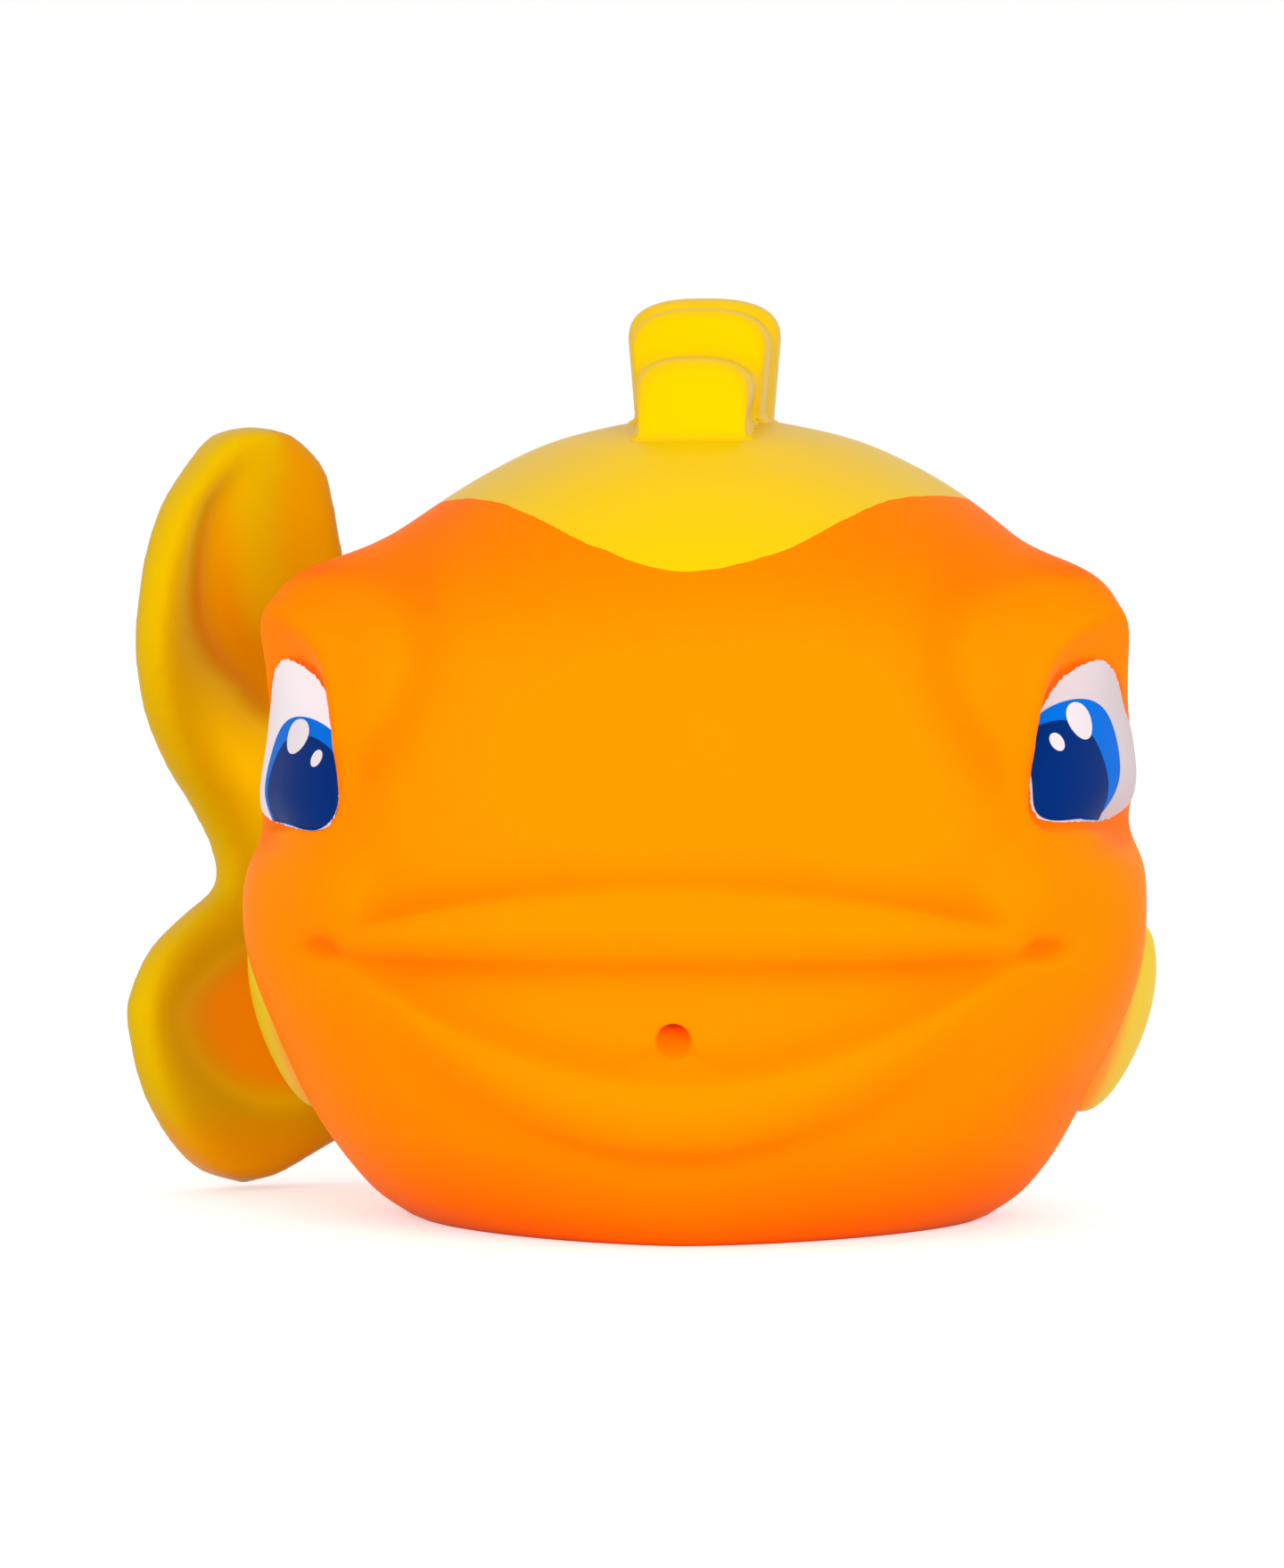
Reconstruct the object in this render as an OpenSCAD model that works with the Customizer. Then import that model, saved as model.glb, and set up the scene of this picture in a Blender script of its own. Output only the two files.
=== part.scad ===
// Squeaky bath toy fish: a soft vinyl moulding on a flat base, with a squeaker plugged into the base.
// Millimetres. The fish faces -Y, +Z is up, and the origin is the centre of the base.

/* [Body] */
// Width of the body across the cheeks
body_w = 80; // [72:1:90]
// Height of the body without the dorsal fin
body_h = 71; // [64:1:80]
// Reach of the face in front of the middle of the base
front_d = 38; // [34:1:44]
// Reach of the back behind the middle of the base
rear_d = 32; // [29:1:36]
// How far the top of the back lies behind the middle of the base
lean_d = 8; // [4:1:10]
// Thickness of the vinyl wall
wall = 2.2; // [1.6:0.1:3]
// Thickness of the vinyl floor
floor_t = 4.4; // [4:0.2:6]
// Gap at the edge between the hood and the body
seam_gap = 0.12; // [0.1:0.02:0.3]

/* [Face] */
// How far each brow stands out
brow_rise = 4.2; // [2:0.2:5]
// How far each cheek stands out
cheek_rise = 1.2; // [0.4:0.2:2]
// Depth of the fold between eye and cheek
fold_depth = 1.5; // [0.4:0.1:2]
// Depth of the socket in front of each eye
socket_depth = 1; // [0.2:0.1:1.6]
// Width of the mouth from corner to corner
mouth_w = 61; // [52:1:66]
// Height of the mouth's corners as a share of the body's height
mouth_height_share = 0.352; // [0.33:0.002:0.38]
// How far the upper lip rises above the corners
upper_lip_arch = 2.6; // [1:0.2:4]
// How far the smile drops below the corners
smile_drop = 13; // [10:0.5:14]
// How far the upper lip stands out
upper_lip_rise = 1.4; // [0.6:0.2:2.4]
// How far the lower lip stands out
lower_lip_rise = 1.2; // [0.6:0.2:2.4]
// Depth of the hollow between the lips
mouth_depth = 0.6; // [0.2:0.2:2.2]
// Diameter of the squirt hole
squirt_d = 3; // [2:0.1:4]
// Depth of the squirt hole below the mouth's corners
squirt_drop = 6.2; // [5:0.2:8]

/* [Eyes] */
// Length of the eye along the head
eye_l = 28; // [26:0.5:30]
// Height of the eye
eye_h = 13.4; // [12:0.2:15]
// Reach of the eye's middle in front of the base's middle, as a share of the face's reach
eye_reach_share = 0.245; // [0.225:0.005:0.275]
// Height of the eye's middle as a share of the body's height
eye_height_share = 0.594; // [0.58:0.001:0.62]
// Length of the iris
iris_l = 16.8; // [14:0.2:18]
// Height of the iris
iris_h = 11.2; // [10:0.2:13]
// Length of the pupil
pupil_l = 14.6; // [12:0.2:15.6]
// Height of the pupil
pupil_h = 9.8; // [8:0.2:10.6]
// Height of the large highlight
glint_h = 3; // [2.4:0.1:3.6]
// Thickness of each printed layer
print_t = 0.2; // [0.15:0.05:0.3]
// Gap between one printed layer and the next
print_gap = 0.08; // [0.06:0.01:0.12]
// Gap between the skin and the first printed layer
skin_gap = 0.2; // [0.16:0.01:0.3]

/* [Dorsal fin] */
// Height of the rear lobe's top above the body
dorsal_rise = 10.6; // [7:0.2:15]
// Height of the front lobe's top above the body
dorsal_step_rise = 4.8; // [3:0.2:6]
// Thickness of the rear lobe
dorsal_w = 13.6; // [11:0.2:16]
// Thickness of the front lobe
dorsal_step_w = 10; // [8:0.2:11]
// Length of the fin along the back
dorsal_l = 28; // [24:1:32]
// Where the fin starts, along the back
dorsal_y = -11; // [-13:0.5:-9]

/* [Tail] */
// Height of the tail fan
tail_h = 70.2; // [60:0.5:76]
// Height of the fan's lowest point above the base
tail_lift = 0.4; // [0.2:0.1:3]
// Thickness of the fan's rim
tail_t = 6.4; // [5:0.2:7.5]
// Depth of the hollow in each lobe
tail_hollow = 2.6; // [1:0.2:3]
// How far behind the back the fan's curl passes
tail_clear = 0.5; // [0.3:0.1:1.5]
// Angle that the fan sweeps round its curl
tail_sweep = 65; // [58:1:68]
// Height of the tail's stem
stem_h = 22; // [18:0.5:24]
// Thickness of the tail's stem
stem_t = 9; // [7.5:0.25:10]

/* [Side fins] */
// Length of each side fin from its root
side_fin_l = 15; // [13:0.5:16]
// Height of each side fin
side_fin_h = 16.4; // [13:0.2:18]
// Thickness of each side fin
side_fin_t = 6; // [4:0.2:7]
// Height of the side fins' middle as a share of the body's height
side_fin_height_share = 0.245; // [0.21:0.001:0.28]
// Angle by which the side fins point back
side_fin_angle = 62; // [56:1:68]
// Angle by which the side fins lean out
side_fin_tilt = 15; // [8:1:20]

/* [Squeaker] */
// Diameter of the hole in the floor
plug_hole_d = 14; // [12:0.2:16]
// Play between the plug's neck and the hole
plug_play = 0.1; // [0.05:0.01:0.2]
// Width of the plug's flange beyond the hole, each side
flange_lip = 2.2; // [1.8:0.1:3]
// Thickness of the plug's flange
flange_t = 1.4; // [1:0.1:1.6]
// Depth of the flange below the base
flange_inset = 0.4; // [0.2:0.1:0.6]
// Height of the plug's barrel above the floor
barrel_h = 14.5; // [13:0.5:18]
// Wall of the plug's barrel
barrel_wall = 1.3; // [1:0.1:1.5]
// Diameter of the sound hole
sound_d = 3.6; // [3:0.1:4]
// Thickness of the reed
reed_t = 0.3; // [0.2:0.05:0.4]
// Width of the reed
reed_w = 4; // [3.4:0.1:4.6]
// Length of the reed that is free to swing
reed_free_l = 7; // [6:0.25:7.5]
// Length of the reed's root under the clamp
reed_root_l = 3; // [2.5:0.25:3.5]
// Diameter of the reed holder's tube
tube_d = 5.4; // [5:0.1:5.8]
// Thickness of the cap's plate
cap_t = 1.4; // [1:0.1:2]
// Number of air holes in the cap
cap_holes = 6; // [4:1:8]
// Diameter of each air hole
cap_hole_d = 1.6; // [1.2:0.1:1.8]

/* [Hidden] */
$fn = 64;
// Length by which a cut runs past what it cuts
overrun = 1;

// Body outline by level: height, half width, front reach, rear reach, lean and the power of the front curve
body_level_shares = [
    [0.000, 0.612, 0.728, 0.630, 0.00, 1.60],
    [0.042, 0.724, 0.812, 0.750, 0.00, 1.68],
    [0.127, 0.843, 0.912, 0.868, 0.00, 1.85],
    [0.225, 0.922, 0.974, 0.947, 0.02, 2.00],
    [0.338, 0.978, 1.005, 1.000, 0.06, 2.10],
    [0.451, 0.988, 1.015, 1.000, 0.13, 2.10],
    [0.563, 0.965, 0.995, 0.955, 0.24, 2.10],
    [0.676, 0.915, 0.945, 0.860, 0.38, 2.10],
    [0.775, 0.805, 0.870, 0.730, 0.54, 2.10],
    [0.859, 0.655, 0.760, 0.580, 0.69, 2.05],
    [0.930, 0.470, 0.610, 0.400, 0.83, 2.00],
    [0.976, 0.278, 0.420, 0.230, 0.93, 2.00],
    [1.000, 0.000, 0.000, 0.000, 1.00, 2.00]
];
// Power of the curve round the back half
rear_power_share = 1.75;
// Height of the hood's edge at even steps from the front round to the rear
hood_edge_shares = [0.804, 0.865, 0.896, 0.890, 0.873, 0.838, 0.817];
// Columns round the body, and rows of its outside and inside
body_columns = 64;
shell_rows = 28;
shell_inner_rows = 9;
hood_rows = 8;
hood_inner_rows = 5;
// Number of halvings in the search for a level
halvings = 22;

// Middle of each face feature: half width, front reach and height
brow_place_shares = [0.825, -0.21, 0.746];
cheek_place_shares = [0.925, -0.37, 0.366];
fold_place_shares = [0.950, -0.26, 0.483];
socket_place_shares = [0.750, -0.71, 0.577];
// Reach of each feature across, along and up, by the same sizes
brow_reach_shares = [0.200, 0.237, 0.099];
cheek_reach_shares = [0.225, 0.316, 0.113];
fold_reach_shares = [0.200, 0.316, 0.034];
socket_reach_shares = [0.125, 0.132, 0.085];
// Reach of the lips up and down
upper_lip_reach = 2.8;
lower_lip_reach = 3.4;
// Share of the mouth's half width where the lips start to fade
lip_fade_share = 0.82;
// Where the hollow between the lips starts and ends, from each lip's middle line
hollow_low_start = 0.5;
hollow_low_end = 5;
hollow_high_start = 1.5;
hollow_high_end = 5;
// Width of the squirt hole's countersink
squirt_sink_d = 4.6;
squirt_sink_depth = 1.2;

// Eye outline as shares of its half length and half height, from the front corner of the lid on
eye_outline_shares = [
    [-0.92, -0.95], [-0.48, -1.00], [0.23, -0.95], [0.77, -0.71], [1.00, -0.14], [0.72, 0.19],
    [0.41, 0.51], [0.12, 0.87], [-0.14, 0.99], [-0.45, 0.78], [-0.78, 0.19], [-0.99, -0.48]
];
eye_columns = 32;
eye_ring_shares = [0.25, 0.5, 0.75, 1];
// Middle of the iris, the pupil and the glints on the fish's left and right, as shares of the eye's half sizes
iris_place_shares = [[-0.39, -0.17], [-0.35, -0.53]];
pupil_place_shares = [[-0.55, -0.34], [-0.45, -0.56]];
big_glint_place_shares = [[-0.39, 0.32], [-0.38, 0.11]];
small_glint_place_shares = [[-0.66, 0.08], [-0.68, -0.14]];
// Size of the iris and the pupil on the fish's left and right
print_side_shares = [0.94, 1.06];
// Place of the fish's left and right in these tables
left = 0;
right = 1;
// Width of a glint by its height, and the small glint by the large one
glint_width_share = 1.3;
small_glint_share = 0.56;
// Inset of the iris and pupil from the eye's edge
iris_inset = 0.2;
pupil_inset = 0.35;

// Station height that stands for the front lobe's top
dorsal_step_share = 0.42;
// Dorsal fin in three lobes, by station: place, thickness towards the rear lobe's, height towards its top
dorsal_station_shares = [
    [0.004, -0.61, -0.16], [0.014, -0.28, 0.09], [0.043, -0.08, 0.32], [0.093, -0.02, 0.40],
    [0.214, 0.00, dorsal_step_share], [0.314, 0.02, dorsal_step_share], [0.354, 0.19, 0.57],
    [0.382, 0.50, 0.79], [0.429, 0.60, 0.865], [0.586, 0.61, 0.875], [0.650, 0.75, 0.91],
    [0.700, 0.98, 0.985], [0.768, 1.00, 1.00], [0.875, 0.81, 0.90], [0.957, 0.31, 0.62], [1.000, -0.89, 0.04]
];
dorsal_rows = 40;
dorsal_columns = 24;
// Drop of the shoulders by half the thickness, the power that fills them out, and the thickness at the root
dorsal_shoulder_share = 0.56;
dorsal_top_share = 0.88;
dorsal_root_share = 0.92;
// Depth of the fin's root below the top of the body
dorsal_root_depth = 9;

// Radius of the tail's curl, and its centre as shares of the body's half width and rear reach
tail_curl_r = rear_d + tail_clear;
curl_place_shares = [-0.55, 0.0];
// Angle round the curl's centre at which the tail bends on its stem
tail_hinge_angle = 95;
// Tail outline by level: height, inner edge and outer edge round the sweep
tail_level_shares = [
    [0.000, 0.560, 0.560], [0.025, 0.425, 0.690], [0.075, 0.240, 0.805], [0.145, 0.080, 0.905],
    [0.230, -0.150, 0.962], [0.275, -0.200, 0.932], [0.320, -0.200, 0.856], [0.360, -0.200, 0.738],
    [0.395, -0.200, 0.640], [0.445, -0.200, 0.650], [0.500, -0.160, 0.715], [0.560, 0.020, 0.800],
    [0.630, 0.130, 0.870], [0.715, 0.220, 0.900], [0.815, 0.280, 0.868], [0.890, 0.310, 0.810],
    [0.945, 0.343, 0.735], [0.985, 0.430, 0.645], [1.000, 0.538, 0.538]
];
tail_rows = 34;
tail_columns = 22;
// Distance of the first and last ring from the tail's tips, as a share of a row
tail_tip_share = 0.25;
// Power that blunts the rim's edge
rim_power_share = 0.7;
// Middle of each hollow across the lobe and up the tail, and its reach
hollow_place_shares = [[0.60, 0.24], [0.62, 0.72]];
hollow_reach_shares = [[0.24, 0.11], [0.22, 0.16]];
// Height of the stem's middle, as a share of the tail
stem_place_share = 0.38;
// Angle from the hinge back to the stem's root, inside the body
stem_root_sweep = 60;
stem_rows = 9;
stem_columns = 20;
// Growth of the stem at its root
stem_flare_share = 0.35;

// Root of the side fins as shares of the body's half width and front reach
side_fin_root_shares = [0.80, -0.20];
// Side fin by station: length, height and thickness
side_fin_station_shares = [
    [0.00, 0.70, 1.00], [0.30, 0.82, 0.95], [0.55, 1.00, 0.88],
    [0.76, 0.95, 0.78], [0.90, 0.68, 0.62], [0.975, 0.34, 0.34]
];
side_fin_rows = 11;
side_fin_columns = 20;

// Squeaker heights and radii
recess_depth = flange_t + flange_inset;
neck_r = plug_hole_d / 2 - plug_play;
flange_r = plug_hole_d / 2 + flange_lip;
flange_play = 0.3;
barb_lip_share = 0.55;
barb_r = plug_hole_d / 2 + flange_lip * barb_lip_share;
barb_h = 1.6;
bore_r = neck_r - barrel_wall;
bore_floor_z = recess_depth + flange_t;
barrel_top_z = floor_t + barrel_h;
holder_play = 0.1;
holder_r = bore_r - holder_play;
holder_plate_t = 2;
holder_top_z = bore_floor_z + holder_plate_t;
// Face of the reed holder that the reed lies on, in front of the barrel's middle
reed_face_y = -0.6;
reed_gap = 0.05;
channel_w = 2;
channel_wall = 0.8;
tube_cap_t = 1;
reed_top_z = holder_top_z + reed_root_l + reed_free_l;
tube_overlap = 0.6;
tube_top_z = reed_top_z + tube_overlap;
spigot_depth = 1.2;
spigot_wall = 1;
hole_ring_share = 0.55;

// Smooth step from 0 to 1 between two values
function smooth(a, b, v) =
    let (s = max(0, min(1, (v - a) / (b - a))))
    s * s * (3 - 2 * s);

// Power of a signed value, for a rounded section
function blunt(v, p) = sign(v) * pow(abs(v), p);

// Curve through four neighbours at the share s between the middle two
function curve(p0, p1, p2, p3, s) =
    (2 * p1 + (p2 - p0) * s + (2 * p0 - 5 * p1 + 4 * p2 - p3) * s * s
    + (3 * p1 - p0 - 3 * p2 + p3) * s * s * s) / 2;

// Curve through a list that runs on straight at its ends
function along(list, t) =
    let (last = len(list) - 1, i = min(floor(t), last - 1), s = t - i)
    curve(i > 0 ? list[i - 1] : 2 * list[0] - list[1], list[i], list[i + 1],
        i + 2 <= last ? list[i + 2] : 2 * list[last] - list[last - 1], s);

// Curve round a closed list
function around(list, t) =
    let (n = len(list), i = floor(t))
    curve(list[(i + n - 1) % n], list[i % n], list[(i + 1) % n], list[(i + 2) % n], t - i);

body_levels = [
    for (s = body_level_shares)
        [s[0] * body_h, s[1] * body_w / 2, s[2] * front_d, s[3] * rear_d, s[4] * lean_d, s[5]]
];
top_level = len(body_levels) - 1;
below_top = body_levels[top_level - 1];
// The level past the top mirrors the one before it, so that the dome closes level
past_top = [below_top[0], -below_top[1], -below_top[2], -below_top[3],
    2 * lean_d - below_top[4], below_top[5]];
body_curve = concat([2 * body_levels[0] - body_levels[1]], body_levels, [past_top]);

// Height, half width, front, rear, lean and power at a level
function body_at(t) =
    let (i = min(floor(t), top_level - 1))
    curve(body_curve[i], body_curve[i + 1], body_curve[i + 2], body_curve[i + 3], t - i);

// Level at which the body reaches a height
function level_of(z, low = 0, high = top_level, steps = halvings) =
    let (mid = (low + high) / 2)
    steps == 0 ? mid
    : body_at(mid)[0] < z ? level_of(z, mid, high, steps - 1) : level_of(z, low, mid, steps - 1);

// Point on the plain body, at an angle from the front round by the fish's left
function plain_point(angle, t) =
    let (b = body_at(t), c = cos(angle), front = c >= 0, p = 2 / (front ? b[5] : rear_power_share))
    [b[1] * blunt(sin(angle), p), b[4] - (front ? b[2] : b[3]) * blunt(c, p), b[0]];

// A round swelling at a place that both sides of the face share
function swelling(p, place_shares, reach_shares, rise) =
    let (dx = (abs(p[0]) * 2 / body_w - place_shares[0]) / reach_shares[0],
        dy = (p[1] / front_d - place_shares[1]) / reach_shares[1],
        dz = (p[2] / body_h - place_shares[2]) / reach_shares[2])
    rise * exp(-dx * dx - dy * dy - dz * dz);

// Heights of the mouth's corners and of the squirt hole
mouth_corner_z = mouth_height_share * body_h;
squirt_z = mouth_corner_z - squirt_drop;

// The two lips and the hollow between them
function lips(p) =
    let (across = abs(p[0]) * 2 / mouth_w,
        bow = 1 - pow(min(across, 1), 2),
        upper = mouth_corner_z + upper_lip_arch * bow,
        lower = mouth_corner_z - smile_drop * bow,
        fade = p[1] < 0 ? 1 - smooth(lip_fade_share, 1, across) : 0,
        hollow = smooth(lower + hollow_low_start, lower + hollow_low_end, p[2])
            * (1 - smooth(upper - hollow_high_end, upper - hollow_high_start, p[2])))
    fade * (upper_lip_rise * exp(-pow((p[2] - upper) / upper_lip_reach, 2))
        + lower_lip_rise * exp(-pow((p[2] - lower) / lower_lip_reach, 2)) - mouth_depth * hollow);

// Height of the face's features over the plain body
function relief(p) =
    swelling(p, brow_place_shares, brow_reach_shares, brow_rise)
    + swelling(p, cheek_place_shares, cheek_reach_shares, cheek_rise)
    + swelling(p, fold_place_shares, fold_reach_shares, -fold_depth)
    + swelling(p, socket_place_shares, socket_reach_shares, -socket_depth)
    + lips(p);

// Small steps for the slope of the body
angle_step = 0.1;
level_step = 0.002;

function body_normal(angle, t) =
    let (round_step = plain_point(angle + angle_step, t) - plain_point(angle - angle_step, t),
        above = plain_point(angle, min(t + level_step, top_level)),
        up_step = above - plain_point(angle, max(t - level_step, 0)),
        n = cross(round_step, up_step))
    n / norm(n);

// Point on the skin, lifted off it by a length
function skin(angle, t, lift = 0) =
    let (p = plain_point(angle, t))
    p + body_normal(angle, t) * (relief(p) + lift);

// Height of the hood's edge at an angle, the same on both sides
hood_half = len(hood_edge_shares) - 1;
hood_edge_ring = [for (i = [0 : 2 * hood_half - 1]) hood_edge_shares[hood_half - abs(hood_half - i)]];
function hood_edge_z(angle) = body_h * around(hood_edge_ring, angle / 360 * len(hood_edge_ring));

column_angles = [for (i = [0 : body_columns - 1]) 360 * i / body_columns];

function at_height(p, z) = [p[0], p[1], z];

function shell_outer() = [
    for (j = [0 : shell_rows]) [
        for (a = column_angles)
            let (z = (hood_edge_z(a) - seam_gap) * j / shell_rows,
                p = skin(a, level_of(z)))
            j == 0 ? at_height(p, 0) : p
    ]
];

function shell_inner() = [
    for (j = [shell_inner_rows : -1 : 0]) [
        for (a = column_angles)
            let (top = hood_edge_z(a) - seam_gap, z = floor_t + (top - floor_t) * j / shell_inner_rows,
                p = skin(a, level_of(z), -wall))
            j == 0 ? at_height(p, floor_t) : p
    ]
];

function hood_ring(share, lift) = [
    for (a = column_angles)
        let (edge = level_of(hood_edge_z(a)))
        skin(a, edge + (top_level - edge) * share, lift)
];

function hood_outer() = [for (j = [0 : hood_rows - 1]) hood_ring(j / hood_rows, 0)];
function hood_inner() = [for (j = [hood_inner_rows - 1 : -1 : 0]) hood_ring(j / hood_inner_rows, -wall)];

// Closed surface through rings, with a point to close it at each end, split alike on both sides
module loft(rings, first_tip, last_tip) {
    n = len(rings[0]);
    last = len(rings) - 1;
    points = concat([first_tip], [for (r = rings) each r], [last_tip]);
    tip = len(points) - 1;
    sides = [
        for (k = [0 : last - 1])
            for (i = [0 : n - 1])
                let (a = 1 + k * n + i, b = 1 + k * n + (i + 1) % n, c = b + n, d = a + n)
                each i < n / 2 ? [[a, d, c], [a, c, b]] : [[a, d, b], [d, c, b]]
    ];
    first_end = [for (i = [0 : n - 1]) [0, 1 + i, 1 + (i + 1) % n]];
    last_end = [for (i = [0 : n - 1]) [tip, 1 + last * n + (i + 1) % n, 1 + last * n + i]];
    polyhedron(points, concat(first_end, sides, last_end));
}

function middle_of(ring) = [for (k = [0 : 2]) [for (p = ring) p[k]] * [for (p = ring) 1 / len(ring)]];

top_point = [0, lean_d, body_h];

// The whole body as one solid, which trims the roots of the fins
module body_form() {
    loft(concat(shell_outer(), hood_outer()), [0, 0, 0], top_point);
}

module body_shell() {
    color("darkorange")
    difference() {
        loft(concat(shell_outer(), shell_inner()), [0, 0, 0], [0, 0, floor_t]);
        translate([0, 0, -overrun]) cylinder(h = floor_t + 2 * overrun, d = plug_hole_d);
        translate([0, 0, -overrun]) cylinder(h = recess_depth + overrun, r = flange_r + flange_play);
        squirt_hole();
    }
}

// Straight hole through the front wall between the lips, with a countersink outside
module squirt_hole() {
    face_y = skin(0, level_of(squirt_z))[1];
    translate([0, face_y, squirt_z]) rotate([-90, 0, 0]) {
        translate([0, 0, -overrun]) cylinder(h = 2 * (wall + overrun), d = squirt_d);
        cylinder(h = squirt_sink_depth, d1 = squirt_sink_d, d2 = squirt_d);
    }
}

module back_hood() {
    color("gold")
    loft(concat(hood_inner(), hood_outer()), top_point - [0, 0, wall], top_point);
}

// Section of the dorsal fin at a station: straight sides that draw in to the root, and an oval top
function dorsal_ring(station) =
    let (half_w = (dorsal_step_w + (dorsal_w - dorsal_step_w) * station[1]) / 2,
        step_share = dorsal_step_rise / dorsal_rise,
        rise = station[2] <= dorsal_step_share
            ? station[2] / dorsal_step_share * step_share
            : step_share + (station[2] - dorsal_step_share) / (1 - dorsal_step_share) * (1 - step_share),
        top_z = body_h + dorsal_rise * rise,
        side_z = top_z - dorsal_shoulder_share * half_w,
        low_z = body_h - dorsal_root_depth)
    [
        for (i = [0 : dorsal_columns - 1])
            let (a = 360 * i / dorsal_columns,
                above = cos(a) > 0,
                climb = above ? (top_z - side_z) * blunt(cos(a), dorsal_top_share) : (side_z - low_z) * cos(a),
                out = above ? blunt(sin(a), dorsal_top_share) : sign(sin(a)),
                widen = smooth(body_h, body_h + dorsal_rise, side_z + climb),
                flare = dorsal_root_share + (1 - dorsal_root_share) * widen)
            [half_w * flare * out, dorsal_y + dorsal_l * station[0], side_z + climb]
    ];

module dorsal_fin() {
    rings = [
        for (k = [0 : dorsal_rows])
            dorsal_ring(along(dorsal_station_shares, k / dorsal_rows * (len(dorsal_station_shares) - 1)))
    ];
    color("gold")
    difference() {
        loft(rings, middle_of(rings[0]), middle_of(rings[dorsal_rows]));
        body_form();
    }
}

curl_centre = [curl_place_shares[0] * body_w / 2, curl_place_shares[1] * rear_d];

// Point of the tail at an angle and radius round the curl's centre
function curl_point(angle, radius, z) =
    [curl_centre[0] + radius * cos(angle), curl_centre[1] + radius * sin(angle), z];

// Depth of the hollows on the inside of the curl
function tail_dish(across, up) =
    let (parts = [
        for (k = [0, 1])
            exp(-pow((across - hollow_place_shares[k][0]) / hollow_reach_shares[k][0], 2)
                - pow((up - hollow_place_shares[k][1]) / hollow_reach_shares[k][1], 2))
    ])
    tail_hollow * (parts[0] + parts[1]);

function tail_ring(level) = [
    let (width = (level[2] - level[1]) * tail_sweep * tail_curl_r * PI / 180,
        thin = min(1, width / tail_t))
    for (i = [0 : tail_columns - 1])
        let (a = 360 * i / tail_columns,
            across = (1 - cos(a)) / 2,
            side = blunt(sin(a), rim_power_share),
            dish = side < 0 ? tail_dish(across, level[0]) * -side : 0)
        curl_point(tail_hinge_angle + tail_sweep * (level[1] + (level[2] - level[1]) * across),
            tail_curl_r + (side * tail_t / 2 + dish) * thin, tail_lift + tail_h * level[0])
];

// Half space on the body's side of the plane in which the tail bends
module hinge_side() {
    reach = tail_h + tail_curl_r + body_w;
    translate([curl_centre[0], curl_centre[1], 0]) rotate([0, 0, tail_hinge_angle])
        translate([-reach, -reach, -reach]) cube([2 * reach, reach, 2 * reach]);
}

module tail_fin() {
    rings = [
        for (k = [0 : tail_rows])
            let (tip = tail_tip_share / tail_rows, s = tip + (1 - 2 * tip) * k / tail_rows)
            tail_ring(along(tail_level_shares, s * (len(tail_level_shares) - 1)))
    ];
    color("gold")
    difference() {
        loft(rings, middle_of(rings[0]), middle_of(rings[tail_rows]));
        hinge_side();
    }
}

// Oval section of the stem, which grows towards the body
function stem_ring(share) =
    let (angle = tail_hinge_angle - stem_root_sweep * (1 - share),
        grow = 1 + stem_flare_share * pow(1 - share, 2),
        mid_z = tail_lift + tail_h * stem_place_share)
    [
        for (i = [0 : stem_columns - 1])
            let (a = 360 * i / stem_columns)
            curl_point(angle, tail_curl_r + stem_t / 2 * grow * sin(a), mid_z + stem_h / 2 * grow * cos(a))
    ];

module tail_stem() {
    rings = [for (k = [0 : stem_rows]) stem_ring(k / stem_rows)];
    color("gold")
    difference() {
        loft(rings, middle_of(rings[0]), middle_of(rings[stem_rows]));
        body_form();
    }
}

// Root of the left side fin, the way it points, the way across it and the way up it
side_fin_root = [side_fin_root_shares[0] * body_w / 2, side_fin_root_shares[1] * front_d,
    side_fin_height_share * body_h];
side_fin_way = [cos(side_fin_angle), sin(side_fin_angle), 0];
side_fin_across = [side_fin_way[1], -side_fin_way[0], 0];
side_fin_up = [sin(side_fin_tilt), 0, cos(side_fin_tilt)];

// Oval section of a side fin
function side_fin_ring(station) = [
    for (i = [0 : side_fin_columns - 1])
        let (a = 360 * i / side_fin_columns)
        side_fin_root + side_fin_way * side_fin_l * station[0]
            + side_fin_up * side_fin_h / 2 * station[1] * cos(a)
            + side_fin_across * side_fin_t / 2 * station[2] * sin(a)
];

module side_fin() {
    rings = [
        for (k = [0 : side_fin_rows])
            side_fin_ring(along(side_fin_station_shares,
                k / side_fin_rows * (len(side_fin_station_shares) - 1)))
    ];
    difference() {
        loft(rings, side_fin_root, side_fin_root + side_fin_way * side_fin_l);
        body_form();
    }
}

module left_side_fin() {
    color("gold") side_fin();
}

module right_side_fin() {
    color("gold") mirror([1, 0, 0]) side_fin();
}

// Angle round the body of a place given by its reach along the head and its level
function angle_at(y, t) =
    let (b = body_at(t), ahead = b[4] - y)
    ahead >= 0 ? acos(pow(min(1, ahead / b[2]), b[5] / 2))
    : 180 - acos(pow(min(1, -ahead / b[3]), rear_power_share / 2));

// Point on the fish's left flank at a place along the head and a height
function flank(place, lift) =
    let (t = level_of(place[1]))
    skin(angle_at(place[0], t), t, lift);

eye_middle = [-eye_reach_share * front_d, eye_height_share * body_h];
eye_half = [eye_l / 2, eye_h / 2];
function in_eye(shares) = eye_middle + [shares[0] * eye_half[0], shares[1] * eye_half[1]];

eye_edge = [
    for (i = [0 : eye_columns - 1])
        in_eye(around(eye_outline_shares, i / eye_columns * len(eye_outline_shares)))
];

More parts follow.
